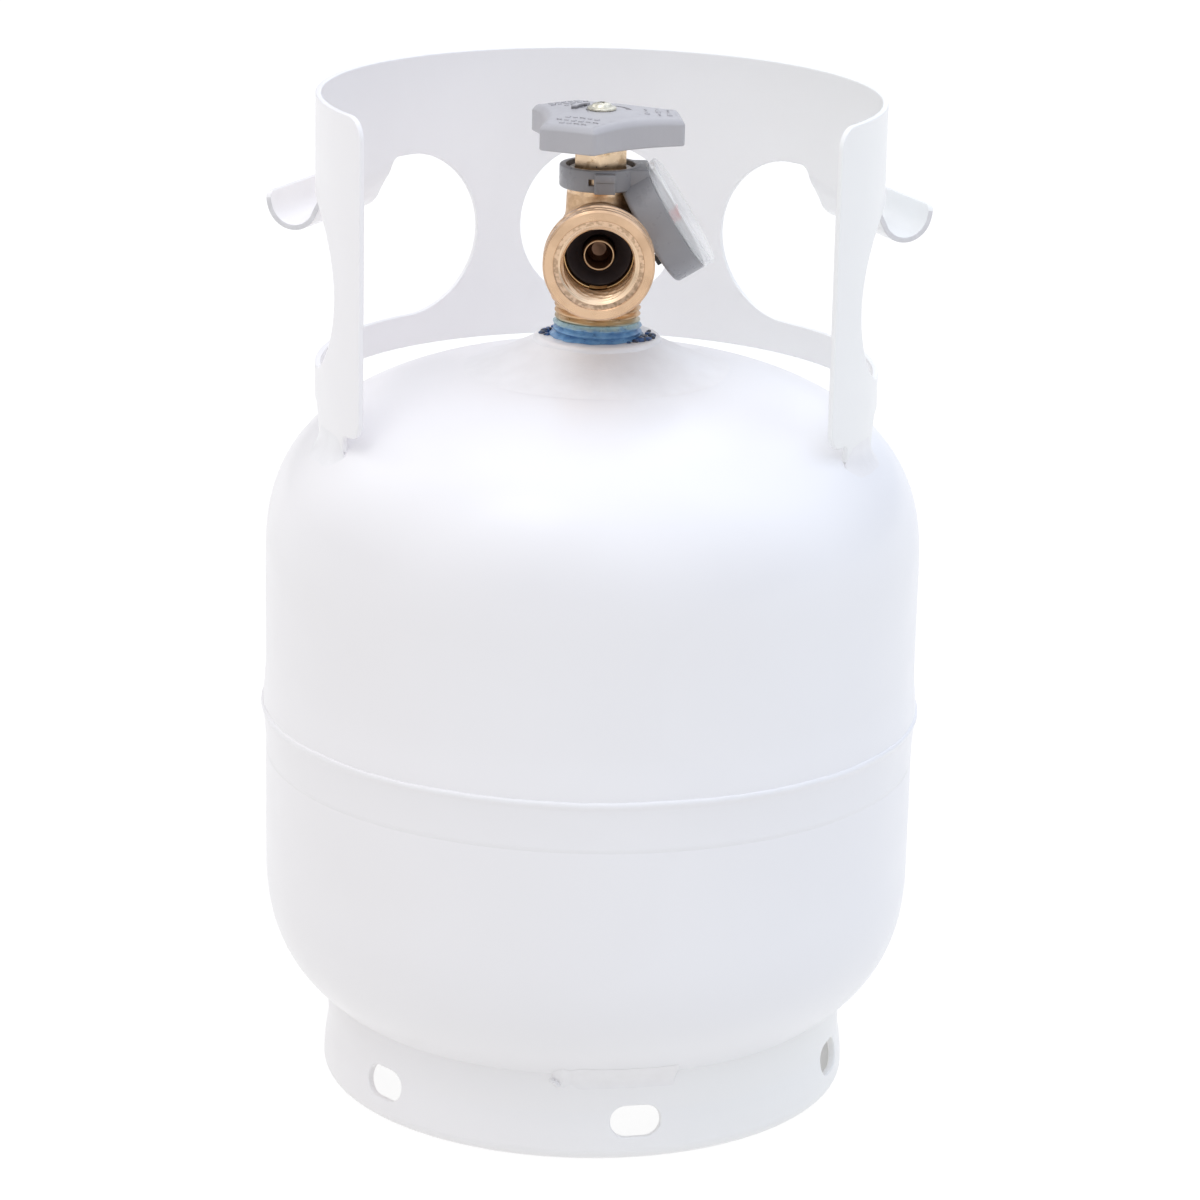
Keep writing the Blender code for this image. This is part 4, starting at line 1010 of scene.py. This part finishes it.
def foot_bead(start, end, seed):
    """Fillet between body and foot ring: a ragged start and a sharp end."""
    steps = 110
    loops = []
    inner = FOOT_R - 0.2
    for k in range(steps + 1):
        share = k / steps
        angle = start + (end - start) * share
        x, y, _ = on_wall(angle, inner, 0)
        fade = min(1, (9 * share) ** 0.7 + 0.12, 0.75 + 14 * (1 - share))
        ripple = 0.09 * wave(x, y, 0, 5, seed) + 0.02 * wave(x, y, 0, 1.8, seed)
        crater = -0.22 * max(0, 1 - abs(share - 0.15) / 0.06)
        size = fade * (1 + ripple + crater)
        top = belly(inner)
        ring = [on_wall(angle, inner - 0.5, top - 0.2)]
        for step in range(11):
            turn = pi / 2 * step / 10
            out = 4.8 * size * (1 - sin(turn)) - 0.012 * step
            drop = 6.0 * size * (1 - cos(turn))
            face = min(belly(inner + out) + 0.15, top + 6)
            ring.append(on_wall(angle, inner + out + 0.15, face * (1 - step / 10) + (top - drop) * (step / 10)
                                - 0.9 * size * sin(pi * step / 10)))
        loops.append(ring)
    return rings(loops)


# ---------------------------------------------------------------- valve

GAUGE_AXIS = (cos(radians(GAUGE_TILT)), 0, sin(radians(GAUGE_TILT)))
GAUGE_DOWN = (cos(radians(GAUGE_TILT - 90)), 0, sin(radians(GAUGE_TILT - 90)))
GAUGE_FRAME = frame_on(GAUGE_BACK, GAUGE_AXIS)
OUTLET_FRAME = frame_on((0, 0, OUTLET_Z), (0, -1, 0), (0, 0, 1))
RELIEF_FRAME = frame_on((0, 0, RELIEF_Z), (0, 1, 0), (0, 0, 1))
BLEED_FRAME = frame_on((0, 0, BLEED_Z), on_wall(BLEED_ANGLE, 1, 0), (0, 0, 1))


def threaded(root_profile, steps, rows, low, high, thread):
    """Ring round Z: outside its radius is thread(share of a turn, height), inside it follows the profile."""
    skin = [circle(thread, low + (high - low) * j / rows, steps) for j in range(rows + 1)]
    return tube(skin + [circle(radius, z, steps) for radius, z in root_profile])


def acme(phase):
    """Height of a 29 degree thread's flank form, 0 at the root and 1 at the crest."""
    phase = phase % 1
    if phase < 0.36:
        return 1.0
    if phase < 0.5:
        return 1 - (phase - 0.36) / 0.14
    if phase < 0.86:
        return 0.0
    return (phase - 0.86) / 0.14


def sharp(phase):
    """Height of a 60 degree thread's form with narrow flats."""
    phase = phase % 1
    return min(1.0, max(0.0, 1.18 * (1 - abs(2 * phase - 1)) - 0.06))


def make_outlet_barrel():
    """Outlet's threaded end: Acme thread outside, pipe thread inside, a sunk ring in its face."""
    start = 18.4
    run_in = 30.3
    steps = 160
    flank = OUTLET_END - 2.75

    def outside(turn, z):
        fade = min(1.0, max(0.0, (z - run_in) / 1.3))
        base = 13.7 + 1.25 * fade
        if z > OUTLET_END - 0.65:
            return OUTLET_R - (z - OUTLET_END + 0.65) * 0.95
        crest = acme(z / ACME_PITCH - turn + 0.42)
        if z > flank:
            crest = max(crest, min(1.0, (z - flank) / 0.6))
        return base + (OUTLET_R - 14.95) * fade * crest

    def inside(turn, z):
        groove = 11.28 - (0.8 * sharp(z / SOCKET_PITCH + turn) if z > 27.2 else 0.0)
        return max(groove, 12.1 - (OUTLET_END - 1.1 - z) * 1.31)

    rows = 150
    top = OUTLET_END - 1.1
    bottom = 12.5
    ring = [circle(outside, start + (OUTLET_END - start) * j / rows, steps) for j in range(rows + 1)]
    lip = [(13.65, OUTLET_END), (13.5, OUTLET_END - 0.15), (13.45, OUTLET_END - 0.95), (13.3, OUTLET_END - 1.05),
           (12.25, OUTLET_END - 1.05)]
    root = ((6.1, bottom), (6.1, 9.4), (12.0, 9.4), (12.0, start))
    ring += [circle(radius, z, steps) for radius, z in lip]
    ring += [circle(inside, top + (bottom - top) * j / rows, steps) for j in range(rows + 1)]
    ring += [circle(radius, z, steps) for radius, z in root]
    return placed(tube(ring), OUTLET_FRAME)


def make_forging():
    """Body of the valve: upright, barrel root, ports and neck, melted into one forging and then bored."""
    upright = lathed([(0, THREAD_TOP, 0), (13.2, THREAD_TOP, 0.5), (14.0, THREAD_TOP + 1.6, 0.6), (14.0, 261.5, 3),
                      (NECK_R + 0.3, 277.0, 4), (NECK_R, 284.0, 0), (0, 284.0, 0)], 96, 5)
    barrel = lathed([(0, -2, 0), (12.4, -2, 0), (12.4, 15.5, 1), (13.9, 17.2, 0.6), (13.9, 19.0, 0.4),
                     (0, 19.0, 0)], 96)
    relief = lathed([(0, 1, 0), (9.5, 1, 0), (9.5, 19, 0.8), (0, 19, 0)], 72)
    bleed = lathed([(0, 1, 0), (3.8, 1, 0), (3.8, 15.5, 0.6), (0, 15.5, 0)], 48)
    well = turned([(0, 1), (5, 1), (5, 16.6), (0, 16.6)], 48)
    ports = [placed(barrel, OUTLET_FRAME), placed(relief, RELIEF_FRAME), placed(bleed, BLEED_FRAME),
             placed(well, frame_on((0, 0, GAUGE_WELL_Z), GAUGE_AXIS))]
    whole = melted(boolean(upright, ports, 'UNION'), 0.42, 5)
    bore = turned([(0, 0), (4.3, 0), (4.3, 9.2), (6.0, 9.2), (6.0, 11.8), (11.6, 11.8), (11.6, 30), (0, 30)], 64)
    seat = turned([(0, 9), (6.7, 9), (6.7, 24), (0, 24)], 48)
    pilot = turned([(0, 10), (2.3, 10), (2.3, 24), (0, 24)], 32)
    shaft = turned([(0, 250), (6.5, 250), (6.5, 262), (3.2, 262), (3.2, 264), (6.6, 264), (6.6, 276), (7.7, 276),
                    (7.7, 300), (0, 300)], 48)
    return boolean(whole, [placed(bore, OUTLET_FRAME), placed(seat, RELIEF_FRAME), placed(pilot, BLEED_FRAME),
                           shaft])


def taper(z):
    """Radius of the taper pipe thread at a height."""
    return THREAD_R - (THREAD_TOP - z) * THREAD_TAPER


def make_valve_body():
    piece("valve_forging", make_forging(), FORGED, ["valve_body"], 40)
    piece("outlet_barrel", make_outlet_barrel(), OUTLET, angle=40)
    neck = lathed([(NECK_R - 1.6, 282.5, 0), (NECK_R - 0.02, 282.5, 0), (NECK_R - 0.02, NECK_TOP, 0.5),
                   (7.75, NECK_TOP, 0.3), (7.75, 282.5, 0)], 128)
    piece("valve_neck", neck, TURNED_Z, angle=40)

    def pipe(turn, z):
        return taper(z) - 0.95 + 1.0 * sharp(z / THREAD_PITCH + turn) if z > 221 else taper(z) - 1.2

    low = 219.2
    root = [(13.1, THREAD_TOP + 0.5), (9.4, THREAD_TOP + 0.5), (9.4, low)]
    thread = threaded(root, 144, 150, low, THREAD_TOP + 0.2, pipe)
    piece("pipe_thread", thread, THREAD, angle=50)


def make_sealant():
    """Sealant squeezed out over the pipe thread's lower turns and onto the spud."""
    low = BOSS_TOP + 0.1
    high = BOSS_TOP + 5.0

    def skin(turn, z):
        x = 14 * cos(2 * pi * turn)
        y = 14 * sin(2 * pi * turn)
        ridge = sharp(z / THREAD_PITCH + turn)
        uneven = 0.16 * wave(x, y, z, 2.2, 1) + 0.10 * wave(x, y, z, 0.9, 5)
        foot = 1.5 * max(0.0, 1 - (z - low) / 1.5) ** 2 * (1 + 0.5 * wave(x, y, 0, 3.4, 8))
        fade = min(1.0, max(0.0, (high - z) / 0.9))
        return taper(z) - 0.45 + (0.08 + 0.98 * ridge + uneven) * fade + foot

    sleeve = threaded([(12.4, high + 0.02), (12.4, low)], 200, 70, low, high, skin)
    piece("sealant_on_thread", sleeve, BLUE, ["thread_sealant"], 70)
    lumps = []
    for k, (angle, radius, size) in enumerate(SEALANT_LUMPS):
        centre = on_wall(angle, radius, BOSS_TOP + 0.25 * size)
        lumps.append(blob(centre, (size, size, size * 0.55), k * 1.7, 9))
    piece("sealant_squeezed_out", joined(*lumps), SMEAR, angle=70)


def make_outlet_inside():
    sleeve = lathed([(10.1, 17, 0), (10.95, 17, 0), (10.95, 26.6, 0.3), (10.1, 26.6, 0.3)], 128, 3)
    sleeve = boolean(sleeve, [block((-2.7, 2.7), (-14, -8), (24.4, 31), 0.05)])
    piece("retainer_sleeve", placed(sleeve, OUTLET_FRAME), SLEEVE, ["outlet_retainer"], 40)
    seal = lathed([(5.05, 17, 0), (9.95, 17, 0), (9.95, 24.6, 0.4), (9.3, 24.6, 0.5), (6.4, 22.4, 1.5),
                   (5.05, 21.8, 0.4)], 128, 5)
    piece("outlet_rubber_seal", placed(seal, OUTLET_FRAME), RUBBER, ["outlet_seal"], 40)
    nozzle = lathed([(0, 15.4, 0), (6.2, 15.4, 0.3), (6.2, 16.7, 0.3), (4.7, 16.7, 0.2), (4.7, 27.6, 0.3),
                     (4.05, 27.6, 0.3), (3.8, 18.6, 0.8), (2.2, 17.4, 0.5), (0, 17.3, 0)], 96)
    piece("check_nozzle_tube", placed(nozzle, OUTLET_FRAME), NOZZLE, ["check_nozzle"], 40, "check")


def hexagon(flats, turn=0.0):
    return [(flats / 2 / cos(pi / 6) * cos(pi / 3 * k + turn), flats / 2 / cos(pi / 6) * sin(pi / 3 * k + turn))
            for k in range(6)]


def make_bonnet():
    """Hexagon with chamfered corners, on a dull ring."""
    washer = lathed([(7.9, NECK_TOP + 0.2, 0.1), (9.7, NECK_TOP + 0.2, 0.3), (9.7, NECK_TOP + 1.4, 0.4),
                     (7.9, NECK_TOP + 1.4, 0.2)], 96)
    piece("bonnet_ring", washer, NICKEL, ["bonnet_washer"])
    seat = NECK_TOP + 1.5
    half = BONNET_FLATS / 2
    corners = [(x, y, 0.35) for x, y in hexagon(BONNET_FLATS, pi / 6)]
    nut = rounded_prism(filleted(corners, 3), seat, 300.0, 0.25, 0.25, 3)
    cone = turned([(0, seat - 1), (half - 0.4, seat - 1), (half + 2.6, seat + 1.1), (half + 2.6, 299.2),
                   (half + 0.2, 300.6), (0, 300.6)], 96)
    nut = boolean(nut, [cone], 'INTERSECT')
    nut = boolean(nut, [turned([(0, 280), (3.35, 280), (3.35, 302), (0, 302)], 48)])
    spigot = turned([(3.35, 282.1), (7.4, 282.1), (7.4, seat + 0.3), (3.35, seat + 0.3)], 64)
    piece("bonnet_hexagon", joined(nut, spigot), HEX, ["bonnet_nut"], 28)


def make_back_ports():
    """Relief valve's cap with its two slots, and the bleed screw."""
    cap = lathed([(2.0, 17.9, 0), (6.2, 17.9, 0.2), (6.2, 19.3, 0.1), (9.0, 19.3, 0.2), (9.0, 21.0, 0.5),
                  (8.0, 21.7, 0.4), (2.0, 21.7, 0.3)], 96)
    slots = [spun(block((-0.8, 0.8), (2.6, 9.6), (20.8, 23), 0.01), turn) for turn in (0, pi)]
    piece("relief_cap_slotted", placed(boolean(cap, slots), RELIEF_FRAME), TURNED_Y, ["relief_cap"], 40)
    screw = lathed([(0, 11.3, 0), (1.9, 12.6, 0.2), (1.9, 15.8, 0.1), (3.4, 15.8, 0.2), (3.4, 18.7, 0.6),
                    (0, 18.7, 0)], 64)
    screw = boolean(screw, [block((-0.5, 0.5), (-5, 5), (17.4, 24), 0.01)])
    piece("bleed_screw_slotted", placed(screw, BLEED_FRAME), TURNED_Z, ["bleed_screw"], 40, "bleed")


# ---------------------------------------------------------------- gauge

def make_gauge_housing():
    """Drum, web and clip ring as one moulding with softened edges."""
    inside = NECK_R + 0.45
    drum = placed(lathed([(0, 0.9, 0), (GAUGE_R, 0.9, 1.4), (GAUGE_R, 10.6, 0.35), (16.9, 10.6, 0.2),
                          (16.9, 6.6, 0.3), (4.6, 6.6, 0.2), (4.6, 2.6, 0), (0, 2.6, 0)], 160, 5), GAUGE_FRAME)
    ring = lathed([(inside, RING_LOW, 0.3), (RING_R, RING_LOW, 0.6), (RING_R, RING_HIGH, 0.6),
                   (inside, RING_HIGH, 0.3)], 160)
    web = filleted([(4.0, RING_LOW, 0), (12.0, RING_LOW, 0), (15.6, 288.9, 0.6), (14.3, RING_HIGH - 0.2, 0.8),
                    (4.0, RING_HIGH - 0.2, 0)], 3)
    web = placed(rounded_prism(web, -8.5, 8.5, 0.5, 0.5, 3), Matrix.Rotation(radians(90), 4, 'X'))
    room = turned([(0, 255), (inside + 0.01, 255), (inside + 0.01, 300), (0, 300)], 160)
    ring = boolean(ring, [block((-3.6, -1.95), (-16, -6), (287.3, 289.4), 0.02)])
    moulding = joined(boolean(drum, [room]), ring, boolean(web, [room]))
    piece("gauge_moulding", moulding, GAUGE, ["gauge_housing"], 30)

    tab = filleted([(-1.8, -14.0, 0.5), (4.6, -14.0, 0.5), (4.6, -11.9, 0.2), (2.0, -12.7, 0.2), (-1.8, -12.8, 0.2)], 3)
    lip = filleted([(-1.8, -14.6, 0.4), (4.6, -14.6, 0.4), (4.6, -13.5, 0.2), (-1.8, -13.5, 0.2)], 3)
    latch = joined(rounded_prism(tab, 285.1, 291.3, 0.3, 0.3, 3), rounded_prism(lip, 288.7, 291.3, 0.4, 0.4, 3))
    piece("gauge_snap_tab", latch, GAUGE, ["gauge_latch"], 30)
    pad = placed(block((-1.9, 1.9), (7.6, 10.6), (-1.7, 0.6), 0.2, 2, 0.4),
                 frame_on(GAUGE_BACK, GAUGE_AXIS, GAUGE_DOWN))
    piece("gauge_stop_pad", pad, BLACK, ["gauge_pad"])


def sector(inner, outer, start, end, low, high, steps):
    """Flat ring segment; angles in degrees, counter-clockwise from local X."""
    outline = arc((0, 0), outer, start, end, steps) + arc((0, 0), inner, end, start, steps)
    return rings([[(x, y, z) for x, y in outline] for z in (low, high)])


def make_gauge_face():
    """Dial with coloured bands and ticks, pointer, and the clear cap over them."""
    disc = lathed([(1.25, 7.0, 0), (16.0, 7.0, 0), (16.0, 7.8, 0.15), (1.25, 7.8, 0)], 128, 2)
    piece("dial_disc", placed(disc, GAUGE_FRAME), CARD, ["gauge_dial"])
    for name, finish, start, end in (("dial_red_band", RED, 180, 225), ("dial_green_band", GREEN, 228, 360)):
        piece(name, placed(sector(10.5, 14.6, start, end, *PRINT_HEIGHTS, 40), GAUGE_FRAME), finish)
    ticks = []
    for k in range(13):
        inner = 8.2 if k % 3 == 0 else 9.2
        outline = ((inner, -0.16), (10.2, -0.16), (10.2, 0.16), (inner, 0.16))
        ticks.append(spun(rings([[(x, y, z) for x, y in outline] for z in PRINT_HEIGHTS]), radians(180 + 15 * k)))
    piece("dial_ticks", placed(joined(*ticks), GAUGE_FRAME), INK)

    lens = lathed([(0, 12.3, 0), (15.6, 12.3, 0.8), (16.0, 8.4, 0.1), (16.3, 8.4, 0.1), (16.3, 10.9, 0.2),
                   (18.25, 10.9, 0.15), (18.25, 11.5, 0.15), (18.05, 11.7, 0.1), (18.05, 13.1, 0.1), (18.2, 13.3, 0.1),
                   (18.2, 13.8, 0.25), (17.4, 14.15, 0.4), (0, 14.15, 0)], 160)
    piece("clear_cap", placed(lens, GAUGE_FRAME), CLEAR, ["gauge_lens"], 40)

    needle = [(-1.3, -4.0), (1.3, -4.0), (0.9, 4.0), (0.25, 13.5), (-0.25, 13.5), (-0.9, 4.0)]
    hub = lathed([(0, 9.3, 0), (1.9, 9.3, 0.1), (1.9, 11.9, 0.3), (0, 11.9, 0)], 48, 3)
    hand = placed(joined(hub, rounded_prism(needle, 11.0, 11.6, 0.12, 0.12, 2)), GAUGE_FRAME)
    piece("dial_pointer", hand, RED, ["gauge_pointer"], 30, "pointer")


# ---------------------------------------------------------------- handwheel

def wheel_outline():
    """Three flat-ended lobes with rounded corners, joined by shallow hollow arcs."""
    corner = (WHEEL_FLAT ** 2 + WHEEL_HALF ** 2) ** 0.5
    away = radians(60) - atan2(WHEEL_HALF, WHEEL_FLAT)
    centre_r = (corner ** 2 - WHEEL_VALLEY_R ** 2) / (2 * (corner * cos(away) - WHEEL_VALLEY_R))
    hollow = centre_r - WHEEL_VALLEY_R
    spread = degrees(acos((centre_r - corner * cos(away)) / hollow))
    corners = []
    for lobe in WHEEL_LOBES:
        middle = radians(lobe)
        for sign in (-1, 1):
            y = sign * WHEEL_HALF
            corners.append((WHEEL_FLAT * cos(middle) - y * sin(middle),
                            WHEEL_FLAT * sin(middle) + y * cos(middle), WHEEL_ROUND))
        valley = lobe + 60
        centre = (centre_r * cos(radians(valley)), centre_r * sin(radians(valley)))
        dip = arc(centre, hollow, valley + 180 + spread, valley + 180 - spread, 14)
        corners += [(x, y, 0) for x, y in dip[2:-2]]
    return filleted(corners, 7)


def domed(point):
    """The knob's top falls from the hub to the ends of the lobes."""
    share = min(max((point.z - 304.5) / 2.5, 0), 1)
    reach = (point.x ** 2 + point.y ** 2) ** 0.5
    fall = 0.55 - 0.075 * max(reach - 6, 0)
    return (point.x, point.y, point.z + share * fall)


def make_handwheel():
    wheel = rounded_prism(wheel_outline(), WHEEL_LOW, WHEEL_HIGH, 0.5, 2.3, 9)
    cutters = [turned([(0, 296), (10.3, 296), (10.3, 302.6), (0, 302.6)], 96),
               turned([(0, 300), (2.9, 300), (2.9, 312), (0, 312)], 48)]
    pocket = filleted([(12.2, -5.0, 1.5), (22.0, -6.2, 1.5), (22.0, 6.2, 1.5), (12.2, 5.0, 1.5)], 4)
    cutters += [spun(rounded_prism(pocket, 296, 304.6, 0.1, 0.5, 3), radians(lobe)) for lobe in WHEEL_LOBES]
    cutters += [sector(7.6, 9.4, start, start + 52, WHEEL_HIGH - 0.8, WHEEL_HIGH + 1, 24) for start in (10, 118)]
    places = [(k + 0.37) * 0.0026 for k in range(-10, 11)]
    wheel = sliced(boolean(wheel, cutters), places, places, 0.00000001)
    marks = []
    for lobe, counts in DASH_COUNTS.items():
        for radius, count in zip(DASH_ROWS, counts):
            for k in range(count):
                across = 2.4 * (k - (count - 1) / 2)
                lean = 0.5 + 0.35 * sin(5 * k + radius)
                dash = block((radius - lean, radius + lean), (across - 0.75, across + 0.75),
                             (WHEEL_HIGH - 0.3, WHEEL_HIGH + 0.3), (0.05, 0.18), 2, 0.3, 2)
                marks.append(spun(dash, radians(lobe)))
    wheel = moved(joined(wheel, *marks), domed)
    even_normals(piece("wheel_three_lobed", wheel, WHEEL, ["handwheel"], 32, "spindle"))

    rim = WHEEL_HIGH + 0.6
    head = lathed([(0, 300.4, 0), (1.5, 300.4, 0), (1.5, rim, 0), (4.45, rim, 0.3), (4.45, 309.4, 0.3),
                   (3.3, 309.6, 0.3), (2.7, 310.4, 0.5), (1.3, 310.8, 0.3), (0, 310.85, 0)], 72)
    slots = [spun(block((-1.5, 1.5), (-0.32, 0.32), (310.0, 312), 0.02), turn + 0.5) for turn in (0, pi / 2)]
    piece("wheel_screw_head", boolean(head, slots), ZINC, ["handwheel_screw"], 35, "spindle")


# ---------------------------------------------------------------- pieces that keep their CAD shape

def finish_inner_pieces():
    """Node materials for the CAD nodes that stay."""
    kept = {STEEL: ("check_spring", "relief_spring", "float_pin", "gauge_rod", "pointer_shaft"),
            RUBBER: ("stem_o_ring", "seat_disc", "relief_seal", "piston_seal"),
            TURNED_Z: ("valve_stem", "lower_spindle", "dip_tube"),
            TURNED_Y: ("relief_poppet",),
            BLACK: ("float_housing", "float_arm", "stop_piston"),
            FOAM: ("float",),
            MAGNET: ("rod_magnet", "pointer_magnet")}
    for finish, names in kept.items():
        for name in names:
            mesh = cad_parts[name].data
            mesh.materials.clear()
            mesh.materials.append(finish)


# ---------------------------------------------------------------- studio

CAMERA_PLACE = (-2.37, -1309.5, 546.1)
CAMERA_PITCH = 16.68
CAMERA_YAW = 0.22
CAMERA_ROLL = 1.24
CAMERA_LENS = 131.2
SKY_LEFT = (0.96, 0.945, 0.94)
SKY_RIGHT = (0.91, 0.98, 1.13)


def make_camera():
    data = bpy.data.cameras.new("camera")
    data.lens = CAMERA_LENS
    data.sensor_width = 36
    data.clip_start = 0.05
    data.clip_end = 60
    camera = shown("camera", data)
    pitch, yaw, roll = (radians(angle) for angle in (CAMERA_PITCH, CAMERA_YAW, CAMERA_ROLL))
    ahead = Vector((sin(yaw) * cos(pitch), cos(yaw) * cos(pitch), -sin(pitch)))
    right = Vector((cos(yaw), -sin(yaw), 0))
    up = right.cross(ahead)
    right, up = right * cos(roll) + up * sin(roll), up * cos(roll) - right * sin(roll)
    turn = Matrix((right, up, -ahead)).transposed().to_4x4()
    camera.matrix_world = Matrix.Translation(Vector(CAMERA_PLACE) * MM) @ turn
    bpy.context.scene.camera = camera


def area_light(name, place, target, size, power, colour):
    data = bpy.data.lights.new(name, 'AREA')
    data.shape = 'RECTANGLE'
    data.size, data.size_y = size
    data.energy = power
    data.color = colour
    lamp = shown(name, data)
    lamp.location = place
    lamp.rotation_mode = 'QUATERNION'
    lamp.rotation_quaternion = (Vector(target) - Vector(place)).to_track_quat('-Z', 'Y')


def make_floor():
    """Pale translucent table, lit evenly from below as well as from above."""
    reach = 14
    mesh = bpy.data.meshes.new("floor")
    mesh.from_pydata([(-reach, -reach, 0), (reach, -reach, 0), (reach, reach, 0), (-reach, reach, 0)], [],
                     [(0, 1, 2, 3)])
    floor = shown("floor", mesh)
    f = Finish("pale_floor", 0.8, 0.0, Specular_IOR_Level=0.0, Emission_Color=(1, 1, 1, 1))
    f.colour((0.22, 0.22, 0.22))
    soft = f.add("LightPath").outputs["Is Diffuse Ray"]
    f.feed(f.shader.inputs["Emission Strength"], f.between(soft, 0.0, 1.0, 0.84, 0.62))
    mesh.materials.append(f.material)
    floor.location.z = -0.0004


def make_sky():
    """Soft white surroundings: brightest overhead, a little warm on the left and cool on the right."""
    world = bpy.data.worlds.new("studio")
    bpy.context.scene.world = world
    world.use_nodes = True
    sky = Nodes(world.node_tree)
    split = sky.add("SeparateXYZ", sky.add("TexCoord").outputs["Generated"])
    across, deep, high = split.outputs
    upward = sky.maths('MAXIMUM', high, 0.0)
    bright = sky.maths('MULTIPLY_ADD', sky.maths('POWER', upward, 1.5), 1.46, 0.32)
    gleam = sky.maths('MULTIPLY_ADD', upward, 0.74, 0.60)
    tint = sky.mix(sky.maths('MULTIPLY_ADD', across, 0.5, 0.5), SKY_LEFT, SKY_RIGHT, False)
    soft = sky.mix(bright, (0.0, 0.0, 0.0), tint, False)
    around = sky.maths('SINE', sky.maths('MULTIPLY', sky.maths('ARCTAN2', across, deep), 5.0))
    stripe = sky.maths('MULTIPLY', around, 0.32)
    mirror = sky.mix(sky.maths('ADD', gleam, stripe), (0.0, 0.0, 0.0), tint, False)
    paths = sky.add("LightPath")
    seen = sky.mix(paths.outputs["Is Glossy Ray"], soft, mirror, False)
    background = sky.nodes["Background"]
    sky.feed(background.inputs["Color"], sky.mix(paths.outputs["Is Camera Ray"], seen, (1.0, 1.0, 1.0), False))
    background.inputs["Strength"].default_value = 1.0


def make_studio():
    make_floor()
    make_sky()
    area_light("key", (-0.7, -0.9, 2.4), (0, 0, 0.2), (0.9, 0.9), 4, (1, 0.99, 0.98))
    bpy.context.scene.view_settings.view_transform = 'Standard'


def main():
    make_shells()
    make_girth_weld()
    make_boss()
    make_collar()
    make_collar_welds()
    make_foot_ring()
    make_foot_welds()
    make_valve_body()
    make_sealant()
    make_outlet_inside()
    make_bonnet()
    make_back_ports()
    make_gauge_housing()
    make_gauge_face()
    make_handwheel()
    finish_inner_pieces()
    make_camera()
    make_studio()


main()
